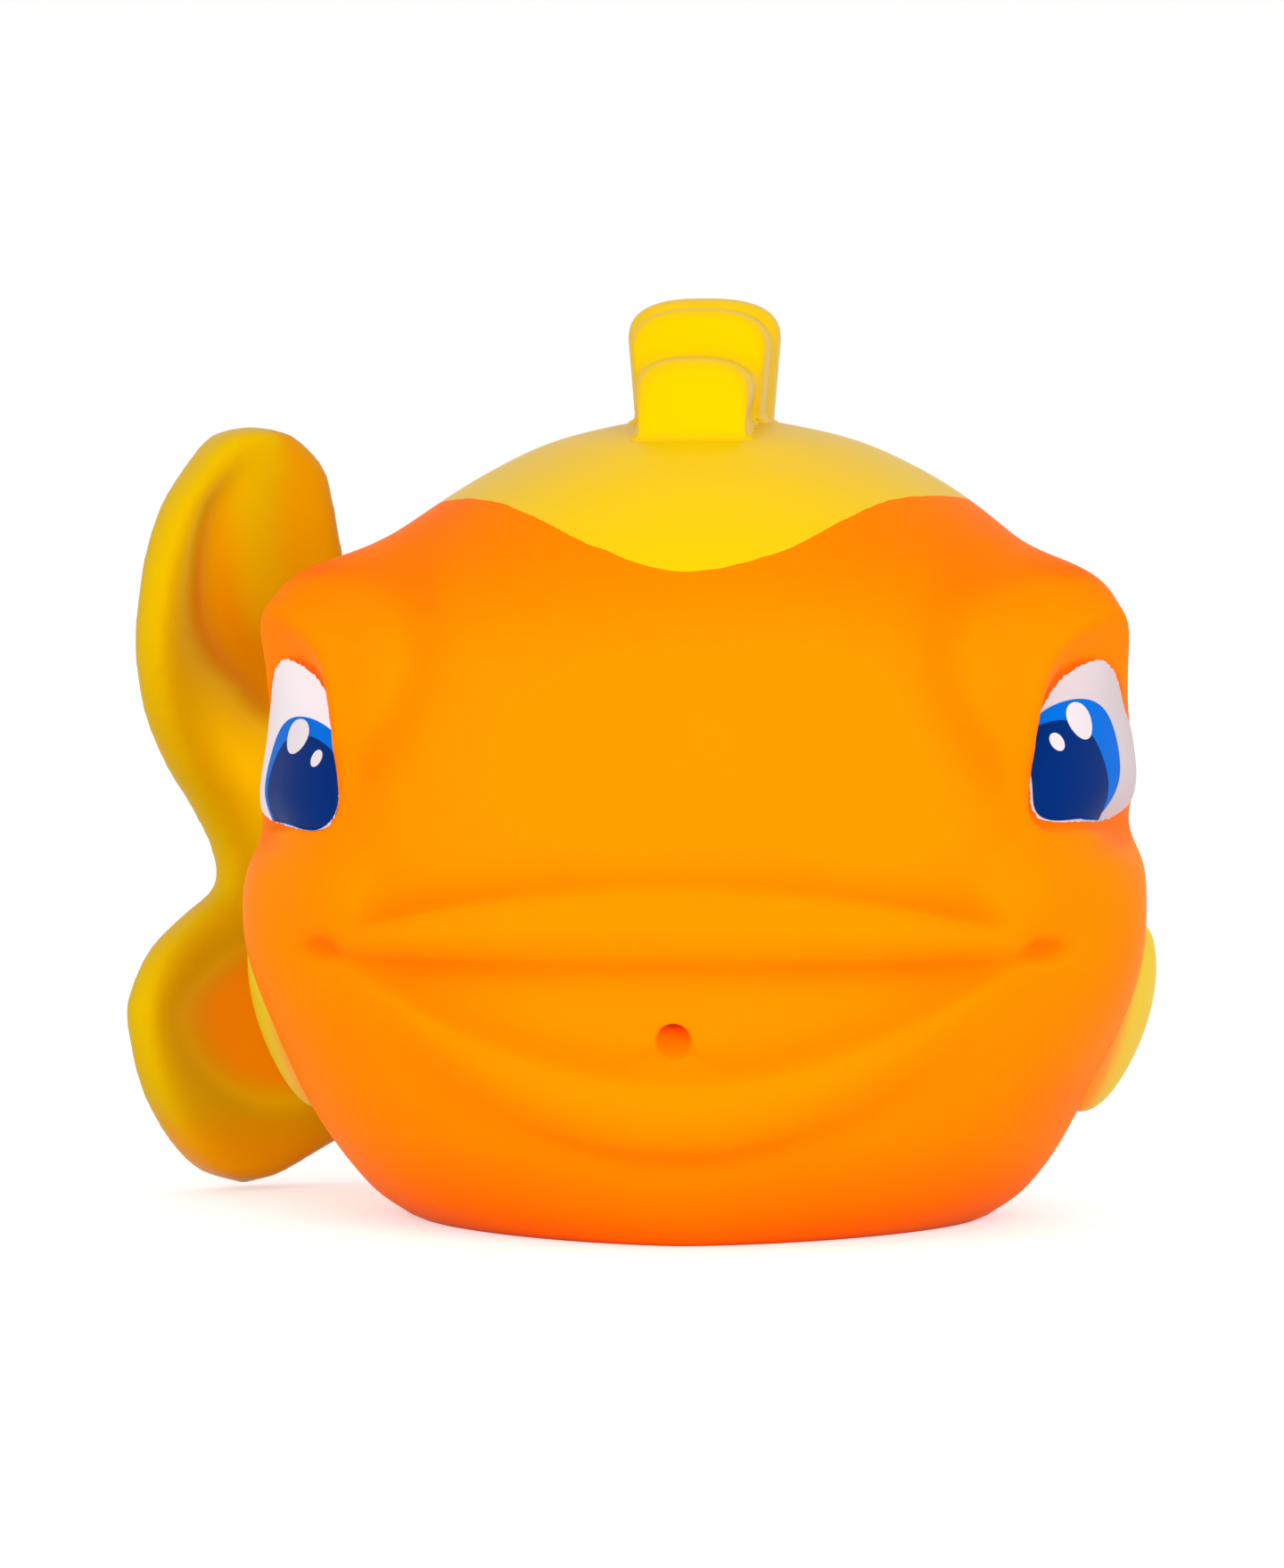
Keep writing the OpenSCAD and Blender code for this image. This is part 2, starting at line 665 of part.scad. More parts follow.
// Distance from a point to the eye's edge in a direction
function to_edge(from, way) = min([
    for (i = [0 : eye_columns - 1])
        let (a = eye_edge[i] - from, b = eye_edge[(i + 1) % eye_columns] - from, side = b - a,
            turn = way[0] * side[1] - way[1] * side[0],
            reach = (a[0] * side[1] - a[1] * side[0]) / turn,
            share = (a[0] * way[1] - a[1] * way[0]) / turn)
        abs(turn) > 0 && reach > 0 && share >= 0 && share <= 1 ? reach : eye_l + eye_h
]);

// Edge of an oval print that stops short of the eye's edge
function oval_edge(middle, length, height, inset) = [
    for (i = [0 : eye_columns - 1])
        let (a = 360 * i / eye_columns,
            oval = [length / 2 * cos(a), height / 2 * sin(a)],
            way = oval / norm(oval))
        middle + way * min(norm(oval), to_edge(middle, way) - inset)
];

// Thin printed layer on the flank, inside an edge
module print_layer(edge, middle, layer) {
    low = skin_gap + layer * (print_t + print_gap);
    under = [for (s = eye_ring_shares) [for (p = edge) flank(middle + (p - middle) * s, low)]];
    over = [
        for (k = [len(eye_ring_shares) - 1 : -1 : 0])
            [for (p = edge) flank(middle + (p - middle) * eye_ring_shares[k], low + print_t)]
    ];
    loft(concat(under, over), flank(middle, low), flank(middle, low + print_t));
}

module eye_white() {
    print_layer(eye_edge, eye_middle, 0);
}

module iris(side) {
    middle = in_eye(iris_place_shares[side]);
    size_share = print_side_shares[side];
    print_layer(oval_edge(middle, iris_l * size_share, iris_h * size_share, iris_inset), middle, 1);
}

module pupil(side) {
    middle = in_eye(pupil_place_shares[side]);
    size_share = print_side_shares[side];
    print_layer(oval_edge(middle, pupil_l * size_share, pupil_h * size_share, pupil_inset), middle, 2);
}

module glints(side) {
    big = in_eye(big_glint_place_shares[side]);
    small = in_eye(small_glint_place_shares[side]);
    small_h = glint_h * small_glint_share;
    print_layer(oval_edge(big, glint_h * glint_width_share, glint_h, 0), big, 3);
    print_layer(oval_edge(small, small_h * glint_width_share, small_h, 0), small, 3);
}

module left_eye_white() { color("white") eye_white(); }
module right_eye_white() { color("white") mirror([1, 0, 0]) eye_white(); }
module left_iris() { color("dodgerblue") iris(left); }
module right_iris() { color("dodgerblue") mirror([1, 0, 0]) iris(right); }
module left_pupil() { color("midnightblue") pupil(left); }
module right_pupil() { color("midnightblue") mirror([1, 0, 0]) pupil(right); }
module left_glints() { color("white") glints(left); }
module right_glints() { color("white") mirror([1, 0, 0]) glints(right); }

// Plug with a groove that grips the floor: flange below, barb above, barrel for the reed inside
module squeaker_housing() {
    color("ivory")
    difference() {
        rotate_extrude() polygon([
            [0, flange_inset], [flange_r, flange_inset], [flange_r, recess_depth],
            [neck_r, recess_depth], [neck_r, floor_t], [barb_r, floor_t],
            [neck_r, floor_t + barb_h], [neck_r, barrel_top_z], [0, barrel_top_z]
        ]);
        translate([0, 0, bore_floor_z]) cylinder(h = barrel_top_z - bore_floor_z + overrun, r = bore_r);
        translate([0, 0, flange_inset - overrun]) cylinder(h = bore_floor_z + overrun, d = sound_d);
    }
}

// Plate in the barrel with a half-round tube, whose open face the reed beats on
module reed_holder() {
    color("linen")
    difference() {
        union() {
            translate([0, 0, bore_floor_z]) cylinder(h = holder_plate_t, r = holder_r);
            intersection() {
                translate([0, 0, bore_floor_z]) cylinder(h = tube_top_z - bore_floor_z, d = tube_d);
                translate([-tube_d, reed_face_y, bore_floor_z])
                    cube([2 * tube_d, tube_d, tube_top_z - bore_floor_z]);
            }
        }
        // channel behind the reed, down to the sound hole
        translate([-channel_w / 2, reed_face_y - overrun, holder_top_z + reed_root_l])
            cube([channel_w, tube_d / 2 + overrun - channel_wall, reed_free_l - tube_cap_t]);
        translate([-channel_w / 2, reed_face_y + channel_wall, bore_floor_z - overrun])
            cube([channel_w, tube_d / 2 - 2 * channel_wall, holder_plate_t + reed_root_l + 2 * overrun]);
    }
}

// Springy tongue that lies against the holder's face
module reed() {
    color("silver")
    translate([-reed_w / 2, reed_face_y - reed_gap - reed_t, holder_top_z])
        cube([reed_w, reed_t, reed_root_l + reed_free_l]);
}

// Block that fills the barrel in front of the reed's root and holds it
module reed_clamp() {
    color("wheat")
    intersection() {
        translate([0, 0, holder_top_z]) cylinder(h = reed_root_l, r = holder_r);
        translate([-bore_r, -bore_r - reed_t - 2 * reed_gap + reed_face_y, holder_top_z])
            cube([2 * bore_r, bore_r, reed_root_l]);
    }
}

// Perforated guard on the barrel's rim
module squeaker_cap() {
    color("ivory")
    difference() {
        union() {
            translate([0, 0, barrel_top_z]) cylinder(h = cap_t, r = neck_r);
            translate([0, 0, barrel_top_z - spigot_depth]) difference() {
                cylinder(h = spigot_depth, r = holder_r);
                translate([0, 0, -overrun]) cylinder(h = spigot_depth + overrun, r = holder_r - spigot_wall);
            }
        }
        for (k = [0 : cap_holes - 1])
            rotate([0, 0, 360 * k / cap_holes])
                translate([hole_ring_share * bore_r, 0, barrel_top_z - overrun])
                    cylinder(h = cap_t + 2 * overrun, d = cap_hole_d);
    }
}

body_shell();
back_hood();
dorsal_fin();
tail_stem();
tail_fin();
left_side_fin();
right_side_fin();
left_eye_white();
right_eye_white();
left_iris();
right_iris();
left_pupil();
right_pupil();
left_glints();
right_glints();
squeaker_housing();
reed_holder();
reed();
reed_clamp();
squeaker_cap();
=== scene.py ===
import math

import bmesh
import bpy
import numpy as np
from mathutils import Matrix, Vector


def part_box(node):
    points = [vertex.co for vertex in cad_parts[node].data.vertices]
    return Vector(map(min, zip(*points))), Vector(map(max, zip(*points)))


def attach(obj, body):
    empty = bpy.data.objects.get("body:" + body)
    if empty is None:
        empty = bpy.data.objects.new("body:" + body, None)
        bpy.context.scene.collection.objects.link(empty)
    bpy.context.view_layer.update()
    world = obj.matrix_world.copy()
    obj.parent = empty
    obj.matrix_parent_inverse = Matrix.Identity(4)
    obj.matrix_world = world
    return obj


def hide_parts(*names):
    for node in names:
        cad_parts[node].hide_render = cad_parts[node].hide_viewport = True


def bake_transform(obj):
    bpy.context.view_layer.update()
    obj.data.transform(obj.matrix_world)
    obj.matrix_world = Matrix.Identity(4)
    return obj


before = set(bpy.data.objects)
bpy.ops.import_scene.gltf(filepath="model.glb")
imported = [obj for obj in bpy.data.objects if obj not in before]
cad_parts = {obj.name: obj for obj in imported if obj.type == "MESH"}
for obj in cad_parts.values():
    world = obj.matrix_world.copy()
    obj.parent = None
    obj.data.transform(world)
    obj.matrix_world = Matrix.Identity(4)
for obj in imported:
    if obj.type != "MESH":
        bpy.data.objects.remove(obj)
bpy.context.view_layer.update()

# Body: a hollow skin of soft orange vinyl, cast in one piece in a heated mould, with the lips, cheeks,
# lids and brows in relief. Its floor has the hole that the squeaker plugs into, and the mouth has a small
# hole that water squirts from. Shapes are in millimetres until a mesh is made, other lengths in metres.
metres_per_mm = 0.001
body_w = 80
body_h = 71
front_d = 38
rear_d = 32
lean_d = 8
wall = 2.2
floor_t = 4.4
# Height, half width, front reach, rear reach, lean and power of the front curve, by level
body_level_shares = np.array([
    [0.000, 0.630, 0.728, 0.630, 0.00, 1.60],
    [0.042, 0.731, 0.812, 0.750, 0.00, 1.68],
    [0.127, 0.843, 0.912, 0.868, 0.00, 1.85],
    [0.225, 0.922, 0.974, 0.947, 0.02, 2.00],
    [0.338, 0.978, 1.005, 1.000, 0.06, 2.10],
    [0.451, 0.988, 1.015, 1.000, 0.13, 2.10],
    [0.563, 0.965, 0.995, 0.955, 0.24, 2.10],
    [0.676, 0.915, 0.945, 0.860, 0.38, 2.10],
    [0.775, 0.805, 0.870, 0.730, 0.54, 2.10],
    [0.859, 0.655, 0.760, 0.580, 0.69, 2.05],
    [0.930, 0.470, 0.610, 0.400, 0.83, 2.00],
    [0.976, 0.278, 0.420, 0.230, 0.93, 2.00],
    [1.000, 0.000, 0.000, 0.000, 1.00, 2.00],
])
rear_power_share = 1.75


def smooth_step(low, high, value):
    share = np.clip((value - low) / (high - low), 0, 1)
    return share * share * (3 - 2 * share)


def blunt(value, power):
    return np.sign(value) * np.abs(value) ** power


def unit(way):
    return way / np.linalg.norm(way, axis=-1, keepdims=True)


def full_turn(count):
    """Angles at even steps round a circle."""
    return np.arange(count) * 2 * np.pi / count


def to_segment(spot, start, end):
    """Distance of spots from a straight line between two points."""
    side = end - start
    share = np.clip(((spot - start) @ side) / (side @ side), 0, 1)
    return np.linalg.norm(spot - start - share[..., None] * side, axis=-1)


curve_points = 4


def curve(before, start, end, after, share):
    """A smooth curve from start to end, as its neighbours bend it."""
    square = share * share
    turn = 2 * before - 5 * start + 4 * end - after
    twist = 3 * start - before - 3 * end + after
    return (2 * start + (end - before) * share + turn * square + twist * square * share) / 2


def along(points, place):
    """The curve through a list of points, at places counted in points from its start."""
    points = np.asarray(points, float)
    last = len(points) - 1
    padded = np.concatenate([[2 * points[0] - points[1]], points, [2 * points[last] - points[last - 1]]])
    first = np.clip(np.floor(place).astype(int), 0, last - 1)
    share = (place - first).reshape(np.shape(place) + (1,) * (points.ndim - 1))
    return curve(*(padded[first + step] for step in range(curve_points)), share)


def around(points, place):
    """The curve round a closed list of points."""
    points = np.asarray(points, float)
    count = len(points)
    first = np.floor(place).astype(int)
    share = (place - first).reshape(np.shape(place) + (1,) * (points.ndim - 1))
    near = [points[(first + step) % count] for step in (-1, 0, 1, 2)]
    return curve(*near, share)


body_levels = body_level_shares * [body_h, body_w / 2, front_d, rear_d, lean_d, 1]
top_level = len(body_levels) - 1
# The level past the top mirrors the one below it, so that the dome closes level
past_top = body_levels[-2] * [1, -1, -1, -1, -1, 1] + [0, 0, 0, 0, 2 * lean_d, 0]
level_curve = np.vstack([2 * body_levels[0] - body_levels[1], body_levels, past_top])


def body_at(level):
    """Height, half width, front, rear, lean and front power at a level."""
    level = np.clip(level, 0, top_level)
    first = np.clip(np.floor(level).astype(int), 0, top_level - 1)
    share = (level - first)[..., None]
    return curve(*(level_curve[first + step] for step in range(curve_points)), share)


level_samples = 6001
sampled_levels = np.linspace(0, top_level, level_samples)
sampled_heights = body_at(sampled_levels)[:, 0]


def level_of(height):
    return np.interp(height, sampled_heights, sampled_levels)


def plain_point(angle, level):
    """The body without its features, at an angle from the front round by the fish's left."""
    size = body_at(level)
    ahead = np.cos(angle)
    front = ahead >= 0
    power = 2 / np.where(front, size[..., 5], rear_power_share)
    reach = np.where(front, size[..., 2], size[..., 3])
    x = size[..., 1] * blunt(np.sin(angle), power)
    y = size[..., 4] - reach * blunt(ahead, power)
    return np.stack([x, y, size[..., 0]], -1)


# Eye opening on the flank, as reach along the head and height: the lid follows this edge
eye_middle = np.array([-9.31, 42.17])
eye_half = np.array([14, 6.7])
eye_outline_shares = np.array([
    [-0.99, -0.94], [-0.50, -1.00], [0.23, -1.00], [0.77, -0.79], [1.00, -0.16], [0.70, 0.12],
    [0.40, 0.42], [0.13, 0.81], [-0.14, 0.97], [-0.50, 0.79], [-0.83, 0.21], [-0.98, -0.44],
])
eye_columns = 192


def eye_edge(columns):
    place = np.arange(columns) * len(eye_outline_shares) / columns
    return eye_middle + around(eye_outline_shares, place) * eye_half


def beyond_eye(spot):
    """Distance of a spot on the flank from the eye's edge, below zero inside it."""
    edge = eye_edge(eye_columns // 2)
    nearest = np.full(spot.shape[:-1], np.inf)
    inside = np.zeros(spot.shape[:-1], bool)
    for start, end in zip(edge, np.roll(edge, -1, 0)):
        side = end - start
        nearest = np.minimum(nearest, to_segment(spot, start, end))
        crosses = (start[1] > spot[..., 1]) != (end[1] > spot[..., 1])
        rise = np.where(crosses, end[1] - start[1], 1)
        inside ^= crosses & (spot[..., 0] < start[0] + side[0] * (spot[..., 1] - start[1]) / rise)
    return np.where(inside, -nearest, nearest)


# Hollow in front of each eye, as its middle, reach, rise and hardness
socket = [(29.8, -26.0, 42.5), (5.0, 7.0, 12.0), -0.25, 1]
# Brow, cheek, fold under the eye, socket, cheek ball and mouth corner
face_swellings = [
    [(33.0, -8.0, 53.0), (8.0, 9.0, 7.0), 4.2, 1],
    [(37.0, -14.0, 26.0), (9.0, 12.0, 8.0), 1.2, 1],
    [(38.0, -10.0, 34.3), (8.0, 12.0, 2.4), -1.5, 1],
    socket,
    [(29.8, -25.5, 29.8), (4.8, 6.0, 4.0), 1.0, 1],
    [(29.6, -23.0, 25.2), (2.2, 4.0, 1.0), -0.9, 1],
]
# The casting isn't quite even: on the fish's left a shoulder is fuller, a fold deeper and the flank flatter
one_sided = [
    [(22.0, 4.0, 64.0), (15.0, 16.0, 8.0), 0.55, 1],
    [(38.5, -3.0, 35.6), (6.0, 9.0, 2.8), -1.3, 1],
    [(38.5, -6.0, 28.5), (6.0, 14.0, 5.0), -0.3, 1],
    [(34.0, -8.0, 10.5), (6.0, 15.0, 4.5), -0.6, 1],
]
# The front of the brow stands proud of the forehead and stops at the lid
brow_front = [(31.6, -22.0, 50.2), (8.0, 16.0, 9.4), 1.7, 2.3]
mouth_half = 30.5
mouth_corner_z = 25.2
upper_lip_arch = 2.4
smile_drop = 13.7
upper_lip_rise = 1.15
lower_lip_rise = 1.05
upper_lip_half = 3.45
lower_lip_half = 3.6
upper_lip_softness = 0.4
lower_lip_softness = 0.8
lip_corner_share = 0.2
upper_lip_fade_shares = (0.68, 1.05)
lower_lip_fade_shares = (0.22, 0.92)
mouth_depth = 0.38
chin_line_drop = 3.6
chin_line_reach = 1.3
chin_line_depth = 0.25
chin_line_half = 12
chin_line_hardness = 4
lid_depth = 1.0
lid_rim_rise = 0.45
lid_rim_reach = 0.9
lid_width = (1.0, 2.3)
lid_width_z = (41, 49)
lid_inside = -0.15
lid_fade_y = (2, -12)


def swelling(p, form, sides=2):
    """A soft hump or hollow, on both sides of the fish or on its left only."""
    middle, reach, rise, hardness = form
    x = np.abs(p[..., 0]) if sides == 2 else p[..., 0]
    spot = np.stack([x, p[..., 1], p[..., 2]], -1)
    return rise * np.exp(-(((spot - middle) / reach) ** 2).sum(-1) ** hardness)


def soft_arch(height, half, softness):
    """An arch over a band of heights that runs out softly on both sides."""
    rise = 1 - (height / half) ** 2
    return (rise + np.sqrt(rise ** 2 + softness ** 2)) / 2


def lips(p):
    across = np.abs(p[..., 0]) / mouth_half
    bow = 1 - np.minimum(across, 1) ** 2
    taper = lip_corner_share + (1 - lip_corner_share) * bow
    above_upper = (p[..., 2] - mouth_corner_z - upper_lip_arch * bow) / taper
    above_lower = (p[..., 2] - mouth_corner_z + smile_drop * bow) / taper
    upper_fade = 1 - smooth_step(*upper_lip_fade_shares, across)
    lower_fade = 1 - smooth_step(*lower_lip_fade_shares, across)
    total = upper_lip_rise * upper_fade * soft_arch(above_upper, upper_lip_half, upper_lip_softness)
    total = total + lower_lip_rise * lower_fade * soft_arch(above_lower, lower_lip_half, lower_lip_softness)
    inside = smooth_step(0, lower_lip_half, above_lower) * smooth_step(0, -upper_lip_half, above_upper)
    total = total - mouth_depth * upper_fade * inside
    chin = np.exp(-(p[..., 0] / chin_line_half) ** chin_line_hardness)
    total = total - chin_line_depth * chin * np.exp(-((above_lower + chin_line_drop) / chin_line_reach) ** 2)
    return np.where(p[..., 1] < 0, total, 0)


def up_the_eye(p):
    """Share of the way up from the eye's lower edge to its middle."""
    return smooth_step(eye_middle[1] - eye_half[1], eye_middle[1], p[..., 2])


def lids(p):
    out = beyond_eye(p[..., 1:])
    front = smooth_step(*lid_fade_y, p[..., 1])
    width = lid_width[0] + (lid_width[1] - lid_width[0]) * smooth_step(*lid_width_z, p[..., 2])
    outside = smooth_step(lid_inside, width, out)
    rim = lid_rim_rise * up_the_eye(p) * np.exp(-((out - width) / lid_rim_reach) ** 2)
    return front * (rim - lid_depth * (1 - outside)) + swelling(p, brow_front) * outside


def relief(p):
    """Height of the face's features over the plain body."""
    even = sum(swelling(p, form) for form in face_swellings)
    return lips(p) + lids(p) + even + sum(swelling(p, form, 1) for form in one_sided)


angle_step = 0.002
level_step = 0.002


def body_normal(angle, level):
    turn = plain_point(angle + angle_step, level) - plain_point(angle - angle_step, level)
    climb = plain_point(angle, level + level_step) - plain_point(angle, level - level_step)
    return unit(np.cross(turn, climb))


def skin(angle, level, lift=0):
    """A point of the moulded surface, lifted off it by a length."""
    point = plain_point(angle, level)
    return point + body_normal(angle, level) * (relief(point) + lift)[..., None]


def face_point(x, z, lift=0):
    """A point of the face at a distance from the middle and a height."""
    level = level_of(z)
    size = body_at(level)
    share = np.clip(np.abs(x) / size[..., 1], 0, 1) ** (size[..., 5] / 2)
    return skin(np.sign(x) * np.arcsin(share), level, lift)


body_columns = 384
outer_rows = 150
inner_rows = 36
floor_rows = 5
column_angles = full_turn(body_columns)
# Height of the paint's edge under the hood at even steps, from the front round by the fish's left
hood_edge_ring = np.array([
    0.804, 0.825, 0.863, 0.887, 0.892, 0.890, 0.886, 0.881, 0.872, 0.857, 0.838, 0.823,
    0.817, 0.823, 0.838, 0.857, 0.872, 0.881, 0.886, 0.890, 0.893, 0.888, 0.869, 0.835,
])
ragged_edge = 0.035
spray_seed = 5
spray_dots = np.random.default_rng(spray_seed).normal(size=body_columns)
ragged = ragged_edge * (np.roll(spray_dots, 1) + 2 * spray_dots + np.roll(spray_dots, -1)) / 4
hood_edge = body_h * around(hood_edge_ring, column_angles / (2 * np.pi) * len(hood_edge_ring)) + ragged

plug_hole_r = 7
recess_r = 9.5
recess_depth = 1.8
base_round = 0.4
base_round_share = 0.3


def circle_ring(radius, z):
    return np.stack([radius * np.sin(column_angles), -radius * np.cos(column_angles),
                     np.full(body_columns, float(z))], -1)


def at_height(ring, z):
    return np.concatenate([ring[:, :2], np.full((len(ring), 1), float(z))], 1)


def between(ring, other, rows):
    return [ring + (other - ring) * row / (rows + 1) for row in range(1, rows + 1)]


foot = at_height(skin(column_angles, level_of(np.zeros(body_columns))), 0)
foot_inset = foot * (1 - base_round / np.linalg.norm(foot, axis=1, keepdims=True))
outer_start = np.full(body_columns, base_round)
outer_rings = [
    skin(column_angles, level_of(outer_start + (hood_edge - outer_start) * row / outer_rows))
    for row in range(outer_rows + 1)
]
inner_rings = [
    skin(column_angles, level_of(floor_t + (hood_edge - floor_t) * row / inner_rows), -wall)
    for row in range(inner_rows, 0, -1)
]
inner_foot = at_height(skin(column_angles, level_of(np.full(body_columns, floor_t)), -wall), floor_t)
base_hole = circle_ring(recess_r, 0)
floor_hole = circle_ring(plug_hole_r, floor_t)
rounding = at_height(foot_inset + (foot - foot_inset) * (1 - base_round_share), base_round * base_round_share)
below_rings = [circle_ring(plug_hole_r, recess_depth), circle_ring(recess_r, recess_depth), base_hole]
below_rings += between(base_hole, foot_inset, floor_rows) + [foot_inset, rounding]
above_rings = inner_rings + [inner_foot] + between(inner_foot, floor_hole, floor_rows) + [floor_hole]
body_rings = below_rings + outer_rings + above_rings

# Squirt hole: radius, depth and upward shift of the rings that roll in from the skin to the inside
squirt_z = 17.9
squirt_rim_r = 1.75
squirt_rings = [(1.60, 0.04, 0.02), (1.46, 0.13, 0.06), (1.34, 0.30, 0.18), (1.24, 0.56, 0.46),
                (1.15, 0.92, 0.94), (1.08, 1.34, 1.56), (1.03, 1.75, 2.14), (1.00, 2.10, 2.60)]
squirt_rim_steps = 4
squirt_columns = 7
squirt_reach = 3.6


def patch_rows(first, heights):
    """Rows of the grid on either side of the squirt hole."""
    near = [row for row, z in enumerate(heights) if abs(z - squirt_z) < squirt_reach]
    return first + min(near), first + max(near)


outer_patch = patch_rows(len(below_rings), [ring[0, 2] for ring in outer_rings])
inner_patch = patch_rows(len(below_rings) + len(outer_rings), [ring[0, 2] for ring in inner_rings])
patches = [outer_patch, inner_patch]


def in_patch(row, column, patch, rows_over, columns_over):
    column = (column + body_columns // 2) % body_columns - body_columns // 2
    return (patch[0] + rows_over <= row < patch[1]
            and -squirt_columns + columns_over <= column < squirt_columns)


# Painted shade: the orange is laid on deeper in the folds, where light bounces from side to side, in the
# hollow before each eye, in a band beside the lids, and towards the foot and the crown
foot_shade_z = (10, -2)
foot_shade_share = 0.75
crown_shade_z = (48, 60)
crown_shade_share = 0.4
fold_shade_share = 0.6
fold_shade_depth = 0.34
socket_shade_share = 0.22
lid_shade_share = 0.55
lid_shade_reach = 1.1
fold_blur = 4
fold_blur_passes = 3


def blurred(grid_values):
    """Values of a grid of rings, spread over the neighbours of each."""
    for _ in range(fold_blur_passes):
        padded = np.pad(grid_values, ((fold_blur, fold_blur), (0, 0)), mode="edge")
        steps = range(2 * fold_blur + 1)
        grid_values = sum(padded[step:step + len(grid_values)] for step in steps) / len(steps)
        grid_values = sum(np.roll(grid_values, step - fold_blur, 1) for step in steps) / len(steps)
    return grid_values


outer_plain = np.array([plain_point(column_angles, level_of(ring[:, 2])) for ring in outer_rings])
outer_relief = np.array([relief(ring) for ring in outer_plain])
fold_shade = np.clip((blurred(outer_relief) - outer_relief) / fold_shade_depth, 0, 1) * fold_shade_share
socket_shade = swelling(outer_plain, socket) / socket[2] * socket_shade_share
beside_lid = np.exp(-(beyond_eye(outer_plain[..., 1:]) / lid_shade_reach) ** 2)
lid_shade = lid_shade_share * beside_lid * up_the_eye(outer_plain)
foot_shade = foot_shade_share * smooth_step(*foot_shade_z, np.array(outer_rings)[..., 2])
crown_shade = crown_shade_share * smooth_step(*crown_shade_z, np.array(outer_rings)[..., 2])
outer_shade = np.clip(fold_shade + socket_shade + lid_shade + foot_shade + crown_shade, 0, 1)
# Painted shade: the underside, the plug's recess and the inside take the full deeper orange
body_shade = np.concatenate([np.ones((len(below_rings), body_columns)), outer_shade,
                            np.ones((len(above_rings), body_columns))])
bm = bmesh.new()
shade_layer = bm.verts.layers.float.new("painted_shade")


def shaded_vertex(point, shade):
    vertex = bm.verts.new(point * metres_per_mm)
    vertex[shade_layer] = shade
    return vertex


grid = [
    [None if any(in_patch(row, column, patch, 1, 1) for patch in patches)
     else shaded_vertex(ring[column], body_shade[row, column]) for column in range(body_columns)]
    for row, ring in enumerate(body_rings)
]
row_count = len(body_rings)
for row in range(row_count):
    for column in range(body_columns):
        if not any(in_patch(row, column, patch, 0, 0) for patch in patches):
            after = (row + 1) % row_count
            beside = (column + 1) % body_columns
            bm.faces.new([grid[row][column], grid[row][beside], grid[after][beside], grid[after][column]])


def patch_loop(patch):
    """Places in the grid round an opening, in order."""
    columns = list(range(-squirt_columns, squirt_columns + 1))
    rows = list(range(patch[0] + 1, patch[1]))
    there = [(patch[0], column) for column in columns] + [(row, squirt_columns) for row in rows]
    back = [(patch[1], column) for column in columns[::-1]]
    return there + back + [(row, -squirt_columns) for row in rows[::-1]]


def join_rings(bm, ring, after):
    """Faces between two rings of vertices."""
    for k in range(len(ring)):
        beside = (k + 1) % len(ring)
        bm.faces.new([ring[k], ring[beside], after[beside], after[k]])


outer_loop = patch_loop(outer_patch)
loop_angles = np.array([column_angles[column] for _, column in outer_loop])
loop_heights = np.array([
    outer_start[0] + (hood_edge[column] - outer_start[0]) * (row - len(below_rings)) / outer_rows
    for row, column in outer_loop
])
loop_plain = plain_point(loop_angles, level_of(loop_heights))
loop_offset = np.stack([loop_plain[:, 0], loop_plain[:, 2] - squirt_z], -1)
loop_way = unit(loop_offset)
hole_rings = []
for step in range(1, squirt_rim_steps + 1):
    share = step / squirt_rim_steps
    offset = loop_offset * (1 - share) + loop_way * squirt_rim_r * share
    hole_rings.append(face_point(offset[:, 0], squirt_z + offset[:, 1]))
inward = np.array([0.0, 1.0, 0.0])
rim_skin = hole_rings[-1]
outward = np.stack([loop_way[:, 0], np.zeros(len(loop_way)), loop_way[:, 1]], -1)
for radius, depth, shift in squirt_rings:
    spots = rim_skin.mean(0) + outward * radius + inward * depth
    spots[:, 2] += shift
    # Near the rim the ring still follows the slope of the skin
    slope = (rim_skin[:, 1] - rim_skin[:, 1].mean()) * max(0, 1 - depth)
    spots[:, 1] += slope
    hole_rings.append(spots)
previous = [grid[row][column] for row, column in outer_loop]
loop_shade = np.array([body_shade[row, column] for row, column in outer_loop])
# Painted shade: down the squirt hole the rings darken to the full deeper orange
for step, ring in enumerate(hole_rings):
    deeper = smooth_step(squirt_rim_steps - 1, len(hole_rings), step + 1)
    ring_shade = loop_shade + (1 - loop_shade) * deeper
    current = [shaded_vertex(point, shade) for point, shade in zip(ring, ring_shade)]
    join_rings(bm, previous, current)
    previous = current
inner_loop = [grid[row][column] for row, column in patch_loop(inner_patch)]
bm.edges.ensure_lookup_table()
hole_edges = [bm.edges.get((loop[k], loop[(k + 1) % len(loop)])) for loop in (previous, inner_loop)
              for k in range(len(loop))]
bmesh.ops.bridge_loops(bm, edges=hole_edges)
bmesh.ops.recalc_face_normals(bm, faces=bm.faces)


def piece_from(name, bm, crease_degrees=50):
    """A named piece with smooth sides from a finished mesh."""
    mesh = bpy.data.meshes.new(name)
    bm.to_mesh(mesh)
    bm.free()
    mesh.shade_smooth()
    mesh.set_sharp_from_angle(angle=math.radians(crease_degrees))
    piece = bpy.data.objects.new(name, mesh)
    bpy.context.scene.collection.objects.link(piece)
    return piece


def places_of(piece):
    """The piece's points in millimetres."""
    places = np.zeros(len(piece.data.vertices) * 3)
    piece.data.vertices.foreach_get("co", places)
    return places.reshape(-1, 3) / metres_per_mm


def set_mask(piece, name, values):
    mask = piece.data.attributes.new(name, "FLOAT", "POINT")
    mask.data.foreach_set("value", np.asarray(values, np.float32))


body_skin = piece_from("body_skin", bm)

